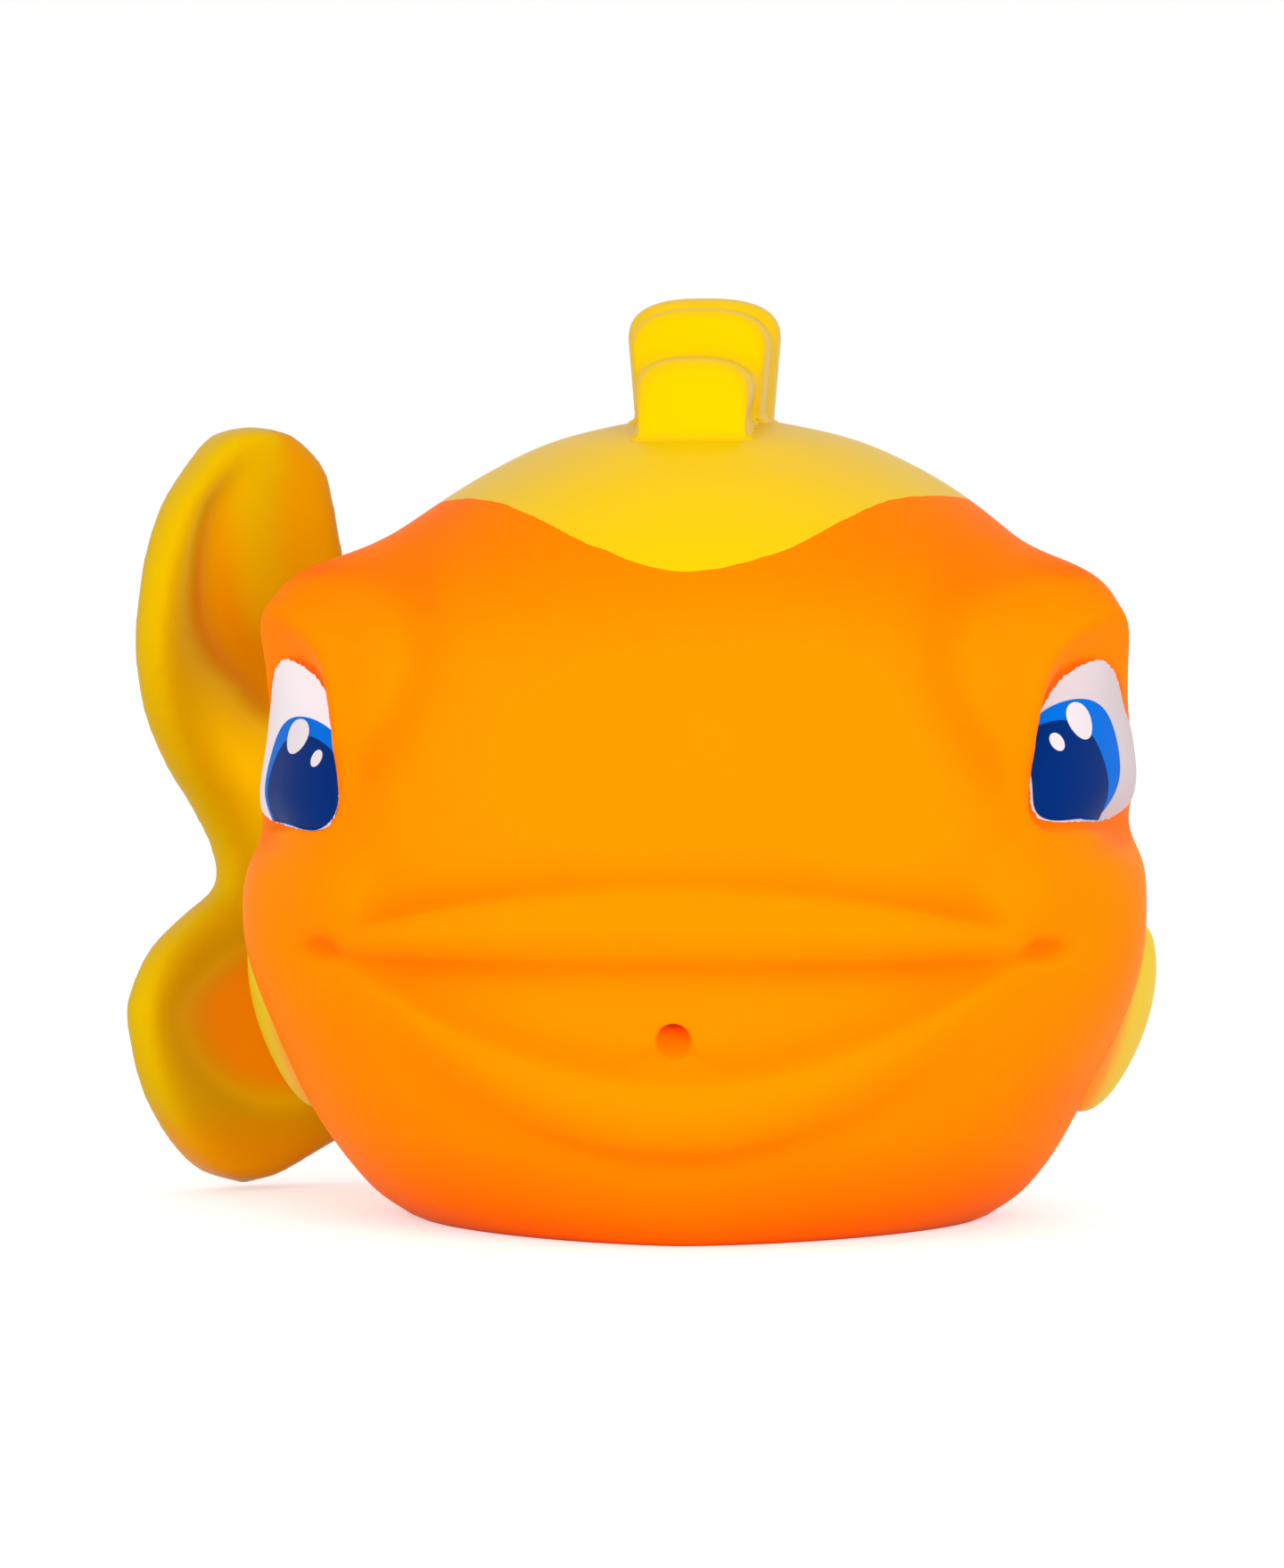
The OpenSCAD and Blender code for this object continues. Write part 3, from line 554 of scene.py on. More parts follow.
screen_full = 255
screen_dark_end = 0.04045
screen_dark_slope = 12.92
screen_offset = 0.055
screen_power = 2.4


def paint(red, green, blue):
    """A colour as it looks on a screen, from 0 to 255, as the light that a shader takes."""
    parts = [value / screen_full for value in (red, green, blue)]
    return [part / screen_dark_slope if part <= screen_dark_end
            else ((part + screen_offset) / (1 + screen_offset)) ** screen_power for part in parts] + [1]


def new_group(name, inputs, outputs):
    """A shader node group with named sockets, and its nodes for the ends."""
    group = bpy.data.node_groups.new(name, "ShaderNodeTree")
    for label, kind in inputs:
        group.interface.new_socket(label, in_out="INPUT", socket_type=kind)
    for label, kind in outputs:
        group.interface.new_socket(label, in_out="OUTPUT", socket_type=kind)
    return group, group.nodes.new("NodeGroupInput"), group.nodes.new("NodeGroupOutput")


def set_inputs(node, values):
    """Set a node's inputs by their names."""
    for label, value in values.items():
        node.inputs[label].default_value = value


def fill_sockets(tree, sockets, values):
    """Give each socket a link from another node or a value of its own."""
    for socket, value in zip(sockets, values):
        if isinstance(value, bpy.types.NodeSocket):
            tree.links.new(value, socket)
        else:
            socket.default_value = value


def add_math(tree, operation, first, second):
    """A math node whose inputs are sockets or numbers."""
    node = tree.nodes.new("ShaderNodeMath")
    node.operation = operation
    fill_sockets(tree, node.inputs, (first, second))
    return node.outputs[0]


def add_mask(tree, name):
    """A mask that is stored on the points of a piece."""
    mask = tree.nodes.new("ShaderNodeAttribute")
    mask.attribute_name = name
    return mask.outputs["Fac"]


def add_noise(tree, scale, detail):
    place = tree.nodes.new("ShaderNodeTexCoord")
    noise = tree.nodes.new("ShaderNodeTexNoise")
    set_inputs(noise, {"Scale": scale, "Detail": detail})
    tree.links.new(place.outputs["Object"], noise.inputs["Vector"])
    return noise.outputs["Fac"]


# Places of the mask, the two colours and the result among the mix node's sockets
mix_places = (0, 6, 7)
mix_result = 2


def add_mix(tree, mask, first, second):
    """A colour mix whose mask and colours are sockets or values."""
    node = tree.nodes.new("ShaderNodeMix")
    node.data_type = "RGBA"
    fill_sockets(tree, [node.inputs[place] for place in mix_places], (mask, first, second))
    return node.outputs[mix_result]


noise_middle = 0.5


def swing(tree, noise, share):
    """Noise as a share to add or take away."""
    return add_math(tree, "MULTIPLY", add_math(tree, "SUBTRACT", noise, noise_middle), share)


# Moulded vinyl: uneven pigment in wide soft clouds, and a fine matt grain from the mould
cloud_scale = 45
cloud_detail = 2
grain_scale = 2600
grain_detail = 1
cloud_share = 0.30
cloud_rough_share = 0.10
grain_rough_share = 0.06
vinyl_grain, grain_in, grain_out = new_group(
    "vinyl_grain",
    [("Colour", "NodeSocketColor"), ("Deep Colour", "NodeSocketColor"), ("Deep", "NodeSocketFloat"),
     ("Roughness", "NodeSocketFloat")],
    [("Colour", "NodeSocketColor"), ("Roughness", "NodeSocketFloat"), ("Height", "NodeSocketFloat")])
cloud = add_noise(vinyl_grain, cloud_scale, cloud_detail)
grain = add_noise(vinyl_grain, grain_scale, grain_detail)
# The Deep input lays on each material's own mask: painted shade on the body, orange paint with painted shade
# in the tail's hollows, and the body's orange at the side fins' roots
deep_mask = add_math(vinyl_grain, "ADD", grain_in.outputs["Deep"], swing(vinyl_grain, cloud, cloud_share))
vinyl_grain.links.new(
    add_mix(vinyl_grain, deep_mask, grain_in.outputs["Colour"], grain_in.outputs["Deep Colour"]),
    grain_out.inputs["Colour"])
cloud_rough = swing(vinyl_grain, cloud, cloud_rough_share)
grain_rough = swing(vinyl_grain, grain, grain_rough_share)
rough_sum = add_math(vinyl_grain, "ADD", add_math(vinyl_grain, "ADD", cloud_rough, grain_rough),
                     grain_in.outputs["Roughness"])
vinyl_grain.links.new(rough_sum, grain_out.inputs["Roughness"])
vinyl_grain.links.new(grain, grain_out.inputs["Height"])

grain_bump_share = 0.06
grain_bump_distance = 0.0001


def vinyl_material(name, colour, deep_colour, roughness, mask_name=None):
    """Satin vinyl: its shader stays here, and the group gives what changes over the surface."""
    material = bpy.data.materials.new(name)
    material.use_nodes = True
    tree = material.node_tree
    shader = tree.nodes["Principled BSDF"]
    surface = tree.nodes.new("ShaderNodeGroup")
    surface.node_tree = vinyl_grain
    set_inputs(surface, {"Colour": colour, "Deep Colour": deep_colour, "Roughness": roughness})
    if mask_name:
        tree.links.new(add_mask(tree, mask_name), surface.inputs["Deep"])
    bump = tree.nodes.new("ShaderNodeBump")
    set_inputs(bump, {"Strength": grain_bump_share, "Distance": grain_bump_distance})
    tree.links.new(surface.outputs["Height"], bump.inputs["Height"])
    tree.links.new(surface.outputs["Colour"], shader.inputs["Base Color"])
    tree.links.new(surface.outputs["Roughness"], shader.inputs["Roughness"])
    tree.links.new(bump.outputs["Normal"], shader.inputs["Normal"])
    return material, shader


vinyl_glow_radius = (1.0, 0.35, 0.05)


def finish_vinyl(shader, specular, gloss_colour, glow, glow_depth):
    """Gloss that takes on the vinyl's colour when seen square on, and light that spreads under its skin."""
    set_inputs(shader, {"Specular IOR Level": specular, "Specular Tint": gloss_colour,
                        "Subsurface Weight": glow, "Subsurface Radius": vinyl_glow_radius,
                        "Subsurface Scale": glow_depth})


body_orange = paint(255, 130, 0)
# The deeper orange is the colour of the painted shade, and also the far end of the pigment clouds
body_deep_orange = paint(255, 92, 0)
body_rough_share = 0.42
body_specular_share = 0.006
vinyl_glow_share = 0.15
vinyl_glow_depth = 0.003
orange_vinyl, orange_shader = vinyl_material("orange_vinyl_satin", body_orange, body_deep_orange,
                                             body_rough_share, "painted_shade")
finish_vinyl(orange_shader, body_specular_share, body_orange, vinyl_glow_share, vinyl_glow_depth)
body_skin.data.materials.append(orange_vinyl)
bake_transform(body_skin)
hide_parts("body_shell")

# Hood: the yellow upper part of the same skin, sprayed through a mask, so that its edge is slightly rough.
# It carries the dorsal fin, and it is the part of the toy that a hand presses down.
hood_rows = 64
hood_inner_rows = 16
hood_top_share = 0.985
edge_levels = level_of(hood_edge)


def hood_rings(rows, lift):
    return [skin(column_angles, edge_levels + (top_level - edge_levels) * hood_top_share * row / rows, lift)
            for row in range(rows + 1)]


def loft(rings, tips=None):
    """A closed mesh through rings of points, closed at each end by a tip or by the middle of the ring."""
    if tips is None:
        tips = (rings[0].mean(0), rings[-1].mean(0))
    bm = bmesh.new()
    count = len(rings[0])
    made = [[bm.verts.new(point * metres_per_mm) for point in ring] for ring in rings]
    for ring, after in zip(made, made[1:]):
        join_rings(bm, ring, after)
    for ring, tip in zip((made[0], made[-1]), tips):
        end = bm.verts.new(np.asarray(tip) * metres_per_mm)
        for k in range(count):
            bm.faces.new([ring[(k + 1) % count], ring[k], end])
    bmesh.ops.recalc_face_normals(bm, faces=bm.faces)
    return bm


top_point = np.array([0, lean_d, body_h])
hood_skin = piece_from("hood_skin", loft(
    hood_rings(hood_inner_rows, -wall)[::-1] + hood_rings(hood_rows, 0),
    (top_point - [0, 0, wall], top_point)))
hood_yellow = paint(221, 179, 0)
hood_deep_yellow = paint(209, 158, 0)
hood_rough_share = 0.40
hood_specular_share = 0.15
yellow_vinyl, yellow_shader = vinyl_material("yellow_vinyl_satin", hood_yellow, hood_deep_yellow,
                                             hood_rough_share)
finish_vinyl(yellow_shader, hood_specular_share, hood_yellow, 0, vinyl_glow_depth)
hood_skin.data.materials.append(yellow_vinyl)
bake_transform(hood_skin)
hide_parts("back_hood")

# Dorsal fin: a thick crest of the same yellow vinyl in three lobes, each taller and wider than the one in
# front of it. It is cast with the hood, so its root runs out in a small fillet.
dorsal_root_z = 66
dorsal_waist_share = 0.915
dorsal_waist_z = 71
dorsal_least_draw = 2
dorsal_fillet = 0.8
dorsal_top_share = 0.76
dorsal_bulge = 0.6
dorsal_rows = 220
dorsal_columns = 128
# Place along the fish, half width, height of the top and drop of its rounded shoulders
dorsal_stations = np.array([
    [-12.6, 3.30, 67.80, 1.2], [-12.0, 3.75, 68.32, 1.2], [-11.5, 4.10, 68.70, 1.2], [-11.1, 4.35, 69.3, 1.4],
    [-10.9, 4.50, 70.1, 1.7], [-10.7, 4.65, 71.6, 2.4], [-10.2, 4.75, 73.8, 2.8], [-9.3, 4.92, 75.2, 2.9],
    [-7.8, 4.98, 75.75, 2.9], [-4.8, 5.00, 75.85, 2.9], [-2.2, 5.04, 75.90, 2.9], [-1.2, 5.30, 77.0, 3.1],
    [-0.8, 5.65, 78.5, 3.3], [-0.2, 5.95, 79.7, 3.5], [0.8, 6.08, 80.25, 3.6], [2.6, 6.10, 80.35, 3.6],
    [5.4, 6.10, 80.35, 3.6], [6.9, 6.22, 80.50, 3.6], [7.5, 6.50, 80.95, 3.6], [8.2, 6.72, 81.35, 3.7],
    [9.4, 6.80, 81.55, 3.7], [11.6, 6.75, 81.45, 3.7], [14.0, 6.35, 80.3, 3.7], [15.8, 5.55, 77.8, 3.6],
    [16.7, 4.50, 74.8, 3.2], [17.0, 3.40, 71.5, 2.6],
])
bisections = 40
least_size = 1e-9


def hood_height(x, y):
    """Height of the plain body's top over a spot."""
    low = np.zeros(np.shape(x))
    high = np.full(np.shape(x), float(top_level))
    for _ in range(bisections):
        level = (low + high) / 2
        size = body_at(level)
        back = y - size[..., 4]
        reach = np.where(back < 0, size[..., 2], size[..., 3])
        power = np.where(back < 0, size[..., 5], rear_power_share)
        outside = (np.abs(x) / np.maximum(size[..., 1], least_size)) ** power
        outside = outside + (np.abs(back) / np.maximum(reach, least_size)) ** power > 1
        high = np.where(outside, level, high)
        low = np.where(outside, low, level)
    return body_at(low)[..., 0]


def dorsal_ring(station):
    """A hoop with an oval top, straight sides that draw in to the root, and edges set back."""
    y, half_w, top_z, shoulder = station
    turn = full_turn(dorsal_columns)
    side_z = top_z - shoulder
    above = np.cos(turn) > 0
    rise = shoulder * blunt(np.cos(turn), dorsal_top_share)
    z = side_z + np.where(above, rise, (side_z - dorsal_root_z) * np.cos(turn))
    x = half_w * np.where(above, blunt(np.sin(turn), dorsal_top_share), np.sign(np.sin(turn)))
    drawn_in = np.clip((side_z - z) / max(side_z - dorsal_waist_z, dorsal_least_draw), 0, 1)
    x = x * (1 - (1 - dorsal_waist_share) * np.where(above, 0, drawn_in))
    return np.stack([x, y + dorsal_bulge * (x / half_w) ** 2, z], -1)


dorsal_places = np.arange(dorsal_rows + 1) / dorsal_rows * (len(dorsal_stations) - 1)
dorsal_rings = [dorsal_ring(station) for station in along(dorsal_stations, dorsal_places)]
for ring in dorsal_rings:
    over_hood = ring[:, 2] - hood_height(ring[:, 0], ring[:, 1])
    low = np.clip(1 - over_hood / dorsal_fillet, 0, 1)
    widen = dorsal_fillet * (1 - np.sqrt(1 - low ** 2))
    ring[:, 0] += np.sign(ring[:, 0]) * widen
dorsal_crest = piece_from("dorsal_crest", loft(dorsal_rings))
dorsal_crest.data.materials.append(yellow_vinyl)
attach(dorsal_crest, "back")
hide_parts("dorsal_fin")

# Tail: a forked fan of yellow vinyl that curls round to the fish's right, with a thick rolled rim and a
# hollow in each lobe, on a flat stem that bends. It is cast with the body, and orange paint fades into it.
tail_h = 70.2
tail_lift = 0.4
tail_t = 6.4
tail_curl_r = 32.5
tail_sweep = math.radians(65)
tail_hinge_angle = math.radians(95)
curl_centre = np.array([-22.0, 0.0])
rim_power_share = 0.7
inner_rim_power_share = 0.4
tail_level_shares = np.array([
    [0.000, 0.560, 0.560], [0.025, 0.425, 0.690], [0.075, 0.240, 0.805], [0.145, 0.080, 0.905],
    [0.230, -0.150, 0.962], [0.275, -0.200, 0.932], [0.320, -0.200, 0.856], [0.360, -0.200, 0.738],
    [0.395, -0.200, 0.640], [0.445, -0.200, 0.650], [0.500, -0.160, 0.715], [0.560, 0.020, 0.806],
    [0.630, 0.130, 0.882], [0.715, 0.220, 0.912], [0.815, 0.280, 0.878], [0.890, 0.310, 0.812],
    [0.945, 0.343, 0.722], [0.985, 0.430, 0.635], [1.000, 0.538, 0.538],
])
tail_rows = 150
tail_columns = 96
tail_tip_share = 0.25
tail_span = 26
# Grooves in the upper lobe, as places across it and up, with their reach and depth
upper_groove = ([[0.73, 0.893], [0.69, 0.833], [0.66, 0.757], [0.59, 0.710], [0.49, 0.671], [0.50, 0.630]],
                3.4, 1.5)
inner_groove = ([[0.30, 0.900], [0.27, 0.840], [0.22, 0.780]], 3.2, 0.3)
# Wide dishes in the two lobes: middle, reach, depth and hardness
tail_dishes = [([0.50, 0.775], [0.42, 0.155], 1.3, 2), ([0.46, 0.23], [0.41, 0.120], 1.4, 3)]
stem_h = 22
stem_t = 9
stem_place_share = 0.38
stem_root_sweep = math.radians(60)
stem_flare_share = 0.35
stem_rows = 40
stem_columns = 64


def curl_point(angle, radius, z):
    return np.stack([curl_centre[0] + radius * np.cos(angle), curl_centre[1] + radius * np.sin(angle),
                     np.broadcast_to(z, np.shape(radius * angle))], -1)


def groove_at(across, up, groove):
    """Depth of a groove that follows a bent line."""
    line, reach, depth = groove
    scale = np.array([tail_span, tail_h])
    spot = np.stack([across, up], -1) * scale
    nearest = np.full(spot.shape[:-1], np.inf)
    for start, end in zip(np.array(line) * scale, np.array(line[1:]) * scale):
        nearest = np.minimum(nearest, to_segment(spot, start, end))
    return depth * np.exp(-(nearest / reach) ** 2)


def hollow_at(across, up):
    """Depth of the hollows on the inner side of the fan."""
    across, up = np.broadcast_arrays(np.asarray(across, float), np.asarray(up, float))
    total = groove_at(across, up, upper_groove) + groove_at(across, up, inner_groove)
    for middle, reach, depth, hardness in tail_dishes:
        far = ((across - middle[0]) / reach[0]) ** 2 + ((up - middle[1]) / reach[1]) ** 2
        total = total + depth * np.exp(-far ** hardness)
    return total


def tail_ring(level):
    width = (level[2] - level[1]) * tail_sweep * tail_curl_r
    thin = min(1, width / tail_t)
    angle = full_turn(tail_columns)
    across = (1 - np.cos(angle)) / 2
    side = np.where(np.sin(angle) > 0, blunt(np.sin(angle), rim_power_share),
                    blunt(np.sin(angle), inner_rim_power_share))
    dish = np.where(side < 0, -side * hollow_at(across, level[0]), 0)
    return curl_point(tail_hinge_angle + tail_sweep * (level[1] + (level[2] - level[1]) * across),
                      tail_curl_r + (side * tail_t / 2 + dish) * thin, tail_lift + tail_h * level[0])


def stem_ring(share):
    angle = tail_hinge_angle - stem_root_sweep * (1 - share)
    grow = 1 + stem_flare_share * (1 - share) ** 2
    turn = full_turn(stem_columns)
    middle_z = tail_lift + tail_h * stem_place_share
    return curl_point(angle, tail_curl_r + stem_t / 2 * grow * np.sin(turn),
                      middle_z + stem_h / 2 * grow * np.cos(turn))


tail_places = (tail_tip_share + (1 - 2 * tail_tip_share / tail_rows) * np.arange(tail_rows + 1)) / tail_rows
tail_places = tail_places * (len(tail_level_shares) - 1)
tail_rings = [tail_ring(level) for level in along(tail_level_shares, tail_places)]
stem_rings = [stem_ring(row / stem_rows) for row in range(stem_rows + 1)]
fan = piece_from("fan_form", loft(tail_rings))
stem = piece_from("stem_form", loft(stem_rings))

soften_share = 0.5


def merged(name, forms, voxel, passes):
    """Forms that overlap, run together into one smooth closed skin."""
    bm = bmesh.new()
    for form in forms:
        bm.from_mesh(form.data)
        bpy.data.objects.remove(form)
    piece = piece_from(name, bm)
    remesh = piece.modifiers.new("run_together", "REMESH")
    remesh.mode = "VOXEL"
    remesh.voxel_size = voxel
    remesh.use_smooth_shade = True
    smooth = piece.modifiers.new("soften", "SMOOTH")
    smooth.factor = soften_share
    smooth.iterations = passes
    shape = bpy.data.meshes.new_from_object(piece.evaluated_get(bpy.context.evaluated_depsgraph_get()))
    piece.modifiers.clear()
    piece.data = shape
    return piece


tail_voxel = 0.0006
tail_passes = 8
tail_fan = merged("tail_fan", [fan, stem], tail_voxel, tail_passes)
tail_points = places_of(tail_fan)
tail_levels = along(tail_level_shares, np.linspace(0, len(tail_level_shares) - 1, level_samples))
tail_up = (tail_points[:, 2] - tail_lift) / tail_h
fan_angle = np.arctan2(tail_points[:, 1] - curl_centre[1], tail_points[:, 0] - curl_centre[0])
fan_share = (fan_angle % (2 * np.pi) - tail_hinge_angle) / tail_sweep
fan_low = np.interp(tail_up, tail_levels[:, 0], tail_levels[:, 1])
fan_high = np.interp(tail_up, tail_levels[:, 0], tail_levels[:, 2])
least_fan_share = 0.01
side_fade_share = 0.25
fan_across = (fan_share - fan_low) / np.maximum(fan_high - fan_low, least_fan_share)
fan_radius = np.linalg.norm(tail_points[:, :2] - curl_centre, axis=1)
side_fade = tail_t * side_fade_share
inner_side = smooth_step(tail_curl_r + side_fade, tail_curl_r - side_fade, fan_radius)
# Orange paint with painted shade: a darker orange-brown lies in the grooves and hollows, less of it towards
# the top, on the half next to the body and at the foot
hollow_paint_and_shade_depth = (0.7, 2.6)
top_fade_up = (0.76, 0.92)
top_fade_share = 0.55
near_body_across = (0.5, 0.2)
near_body_up = (0.60, 0.75)
near_body_share = 0.65
foot_up = (0.13, 0.03)
tail_foot_share = 0.75
hollow_depth = hollow_at(fan_across, tail_up)
tail_paint_and_shade = smooth_step(*hollow_paint_and_shade_depth, hollow_depth)
tail_paint_and_shade = tail_paint_and_shade * (1 - top_fade_share * smooth_step(*top_fade_up, tail_up))
near_body = smooth_step(*near_body_across, fan_across) * smooth_step(*near_body_up, tail_up)
tail_paint_and_shade = np.maximum(tail_paint_and_shade, near_body_share * near_body) * inner_side
tail_paint_and_shade = np.maximum(tail_paint_and_shade, tail_foot_share * smooth_step(*foot_up, tail_up))
set_mask(tail_fan, "hollow", np.clip(tail_paint_and_shade, 0, 1))
tail_yellow = paint(202, 162, 0)
tail_hollow_orange_and_shade = paint(206, 123, 0)
lower_lobe_orange_and_light = paint(255, 152, 0)
painted_light_yellow = paint(255, 226, 0)
tail_vinyl, tail_shader = vinyl_material("tail_vinyl_satin", tail_yellow, tail_hollow_orange_and_shade,
                                         hood_rough_share, "hollow")
finish_vinyl(tail_shader, hood_specular_share, tail_yellow, 0, vinyl_glow_depth)
# Two more colours lie over it: orange like the body's at the stem's root and the foot, and in the lower
# hollow a lighter orange that is orange paint and painted light standing in for light bounced off the body;
# and a paler yellow on the inner side of the waist and round the lower hollow, which is painted light where
# the body shades them
lower_up = (0.42, 0.34)
lower_share = 0.9
lower_foot_share = 0.5
lower_paint_and_light_depth = (0.2, 1.4)
border_depth = (0, 0.6)
border_shares = (0.15, 0.35)
stem_fade = (math.radians(92), math.radians(74))
waist_up = (0.33, 0.43)
waist_end_up = (0.72, 0.54)
waist_across = (1.02, 0.75)
lower_inside = inner_side * smooth_step(*lower_up, tail_up)
lower_paint_and_light = lower_inside * smooth_step(*lower_paint_and_light_depth, hollow_depth)
foot_mask = lower_foot_share * smooth_step(*foot_up, tail_up)
lower_paint_and_light = lower_share * np.maximum(lower_paint_and_light, foot_mask)
# Painted light: a paler yellow round the lower hollow and on the inner side of the waist, where the body
# shades them
border_painted_light = border_shares[0] + border_shares[1] * smooth_step(*border_depth, hollow_depth)
border_painted_light = border_painted_light * lower_inside * (1 - lower_paint_and_light)
lower_paint_and_light = np.maximum(lower_paint_and_light, smooth_step(*stem_fade, fan_angle))
waist_painted_light = inner_side * smooth_step(*waist_up, tail_up) * (1 - tail_paint_and_shade)
waist_painted_light = waist_painted_light * smooth_step(*waist_end_up, tail_up) * smooth_step(*waist_across, fan_across)
waist_painted_light = np.maximum(waist_painted_light, border_painted_light)
tail_tree = tail_vinyl.node_tree
for mask_name, mask_values, overlay_colour in (("lower_hollow_orange_and_light", lower_paint_and_light, lower_lobe_orange_and_light),
                                      ("painted_light_waist", waist_painted_light, painted_light_yellow)):
    set_mask(tail_fan, mask_name, np.clip(mask_values, 0, 1))
    under_overlay = tail_shader.inputs["Base Color"].links[0].from_socket
    tail_tree.links.new(add_mix(tail_tree, add_mask(tail_tree, mask_name), under_overlay, overlay_colour),
                        tail_shader.inputs["Base Color"])
tail_fan.data.materials.clear()
tail_fan.data.materials.append(tail_vinyl)
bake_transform(tail_fan)
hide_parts("tail_fin", "tail_stem")

# Side fins: two thick rounded lobes behind the cheeks, cast with the body and sprayed yellow, so that the
# orange of the body still shows at their roots.
side_fin_l = 15
side_fin_h = 17.2
side_fin_t = 6
side_fin_angle = math.radians(62)
side_fin_tilt = math.radians(15)
side_fin_root = np.array([31.9, -7.6, 17.8])
side_fin_station_shares = np.array([
    [0.00, 0.70, 1.00], [0.30, 0.82, 0.95], [0.55, 1.00, 0.88],
    [0.76, 0.95, 0.78], [0.90, 0.68, 0.62], [0.975, 0.34, 0.34],
])
side_fin_rows = 60
side_fin_columns = 72
side_fin_way = np.array([math.cos(side_fin_angle), math.sin(side_fin_angle), 0])
side_fin_across = np.array([side_fin_way[1], -side_fin_way[0], 0])
up_way = np.array([math.sin(side_fin_tilt), 0, math.cos(side_fin_tilt)])
fin_root_orange = paint(240, 136, 0)
fin_yellow = paint(226, 190, 8)
fin_fade = (9.5, 5.5)
fin_vinyl, fin_shader = vinyl_material("side_fin_vinyl_satin", fin_yellow, fin_root_orange,
                                       hood_rough_share, "root")
finish_vinyl(fin_shader, hood_specular_share, fin_yellow, 0, vinyl_glow_depth)


def side_fin_ring(station):
    turn = full_turn(side_fin_columns)
    upward = np.cos(turn)[:, None] * up_way * side_fin_h / 2 * station[1]
    outward = np.sin(turn)[:, None] * side_fin_across * side_fin_t / 2 * station[2]
    return side_fin_root + side_fin_way * side_fin_l * station[0] + upward + outward


fin_places = np.arange(side_fin_rows + 1) / side_fin_rows * (len(side_fin_station_shares) - 1)
fin_rings = [side_fin_ring(station) for station in along(side_fin_station_shares, fin_places)]
fin_tip = side_fin_root + side_fin_way * side_fin_l
both_sides = (("left", 1), ("right", -1))
for side, sign in both_sides:
    to_side = np.array([sign, 1, 1])
    fin = piece_from(f"{side}_fin_lobe", loft(
        [ring * to_side for ring in fin_rings], (side_fin_root * to_side, fin_tip * to_side)))
    reach = (places_of(fin) * to_side - side_fin_root) @ side_fin_way
    set_mask(fin, "root", smooth_step(*fin_fade, reach))
    fin.data.materials.append(fin_vinyl)
    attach(fin, "body")
    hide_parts(f"{side}_side_fin")

# Eyes: layers of ink printed one over the other on each flank, a white, a blue iris, a navy pupil and pale
# highlights. The lower lid cuts the iris and pupil off.
ink_step = 0.05
ink_gap = 0.05
ink_rings = 24
ink_rough_share = 0.45
ink_specular_share = 0.015


def angle_at(y, level):
    size = body_at(level)
    ahead = size[..., 4] - y
    front = np.arccos(np.clip(ahead / size[..., 2], 0, 1) ** (size[..., 5] / 2))
    rear = np.pi - np.arccos(np.clip(-ahead / size[..., 3], 0, 1) ** (rear_power_share / 2))
    return np.where(ahead >= 0, front, rear)


def flank(spot, lift, sign):
    """A point on the fish's left or right side at a reach along the head and a height."""
    level = level_of(spot[..., 1])
    return skin(sign * angle_at(spot[..., 0], level), level, lift)


def ink_layer(name, edge, middle, layer, sign):
    """A thin closed print inside an edge, on one side of the head."""
    low = ink_gap + layer * ink_step
    shares = np.arange(1, ink_rings + 1) / ink_rings
    under = [flank(middle + (edge - middle) * share, low, sign) for share in shares]
    over = [flank(middle + (edge - middle) * share, low + ink_step, sign) for share in shares[::-1]]
    tips = [flank(middle, level, sign) for level in (low, low + ink_step)]
    return piece_from(name, loft(under + over, tips))


# The print sits a little askew on each side: lift of its lower edge, and drop and reach of its front corner
print_shifts = {"left": (0.4, 0.0, -0.4), "right": (0.0, 0.6, 0.8)}


def printed_edge(side):
    edge = eye_edge(eye_columns)
    lift, drop, reach = print_shifts[side]
    below = smooth_step(eye_middle[1], eye_middle[1] - eye_half[1], edge[:, 1])
    ahead = smooth_step(eye_middle[0], eye_middle[0] - eye_half[0], edge[:, 0])
    edge += np.stack([-reach * ahead * below, (lift - drop * ahead) * below], -1)
    return edge


def to_edge(edge, middle, way):
    """Distance from a spot to an edge round it in each direction."""
    far = np.full(len(way), np.inf)
    for start, end in zip(edge - middle, np.roll(edge, -1, 0) - middle):
        side = end - start
        turn = way[:, 0] * side[1] - way[:, 1] * side[0]
        turn = np.where(turn == 0, np.inf, turn)
        reach = (start[0] * side[1] - start[1] * side[0]) / turn
        share = (start[0] * way[:, 1] - start[1] * way[:, 0]) / turn
        far = np.where((reach > 0) & (share >= 0) & (share <= 1), np.minimum(far, reach), far)
    return far


def oval_edge(edge, middle, half, lean, inset):
    """An oval that leans towards the front as it rises and stops short of the eye's edge."""
    turn = full_turn(eye_columns)
    oval = np.stack([half[0] * np.cos(turn) - lean * half[1] * np.sin(turn), half[1] * np.sin(turn)], -1)
    far = np.linalg.norm(oval, axis=1, keepdims=True)
    way = oval / far
    return middle + way * np.minimum(far, to_edge(edge, middle, way)[:, None] - inset)


def ink_material(name, colour, second_colour):
    """Satin ink with the same fine grain as the vinyl under it."""
    material, shader = vinyl_material(name, colour, second_colour, ink_rough_share)
    set_inputs(shader, {"Specular IOR Level": ink_specular_share, "Specular Tint": colour})
    return material


# On the fish's right the white is a lighter copy of the same ink, painted light that makes up for the weaker
# light on that side
white_ink = {
    "left": ink_material("left_eye_white_ink", paint(206, 193, 197), paint(196, 182, 186)),
    "right": ink_material("right_eye_white_ink_painted_light", paint(232, 222, 226), paint(222, 210, 214)),
}
blue_ink = ink_material("iris_blue_ink", paint(0, 104, 208), paint(0, 90, 195))
navy_ink = ink_material("pupil_navy_ink", paint(0, 40, 109), paint(0, 52, 128))
glint_ink = ink_material("glint_white_ink", paint(220, 210, 214), paint(209, 197, 203))
white_ragged = 0.05
white_seed = 17
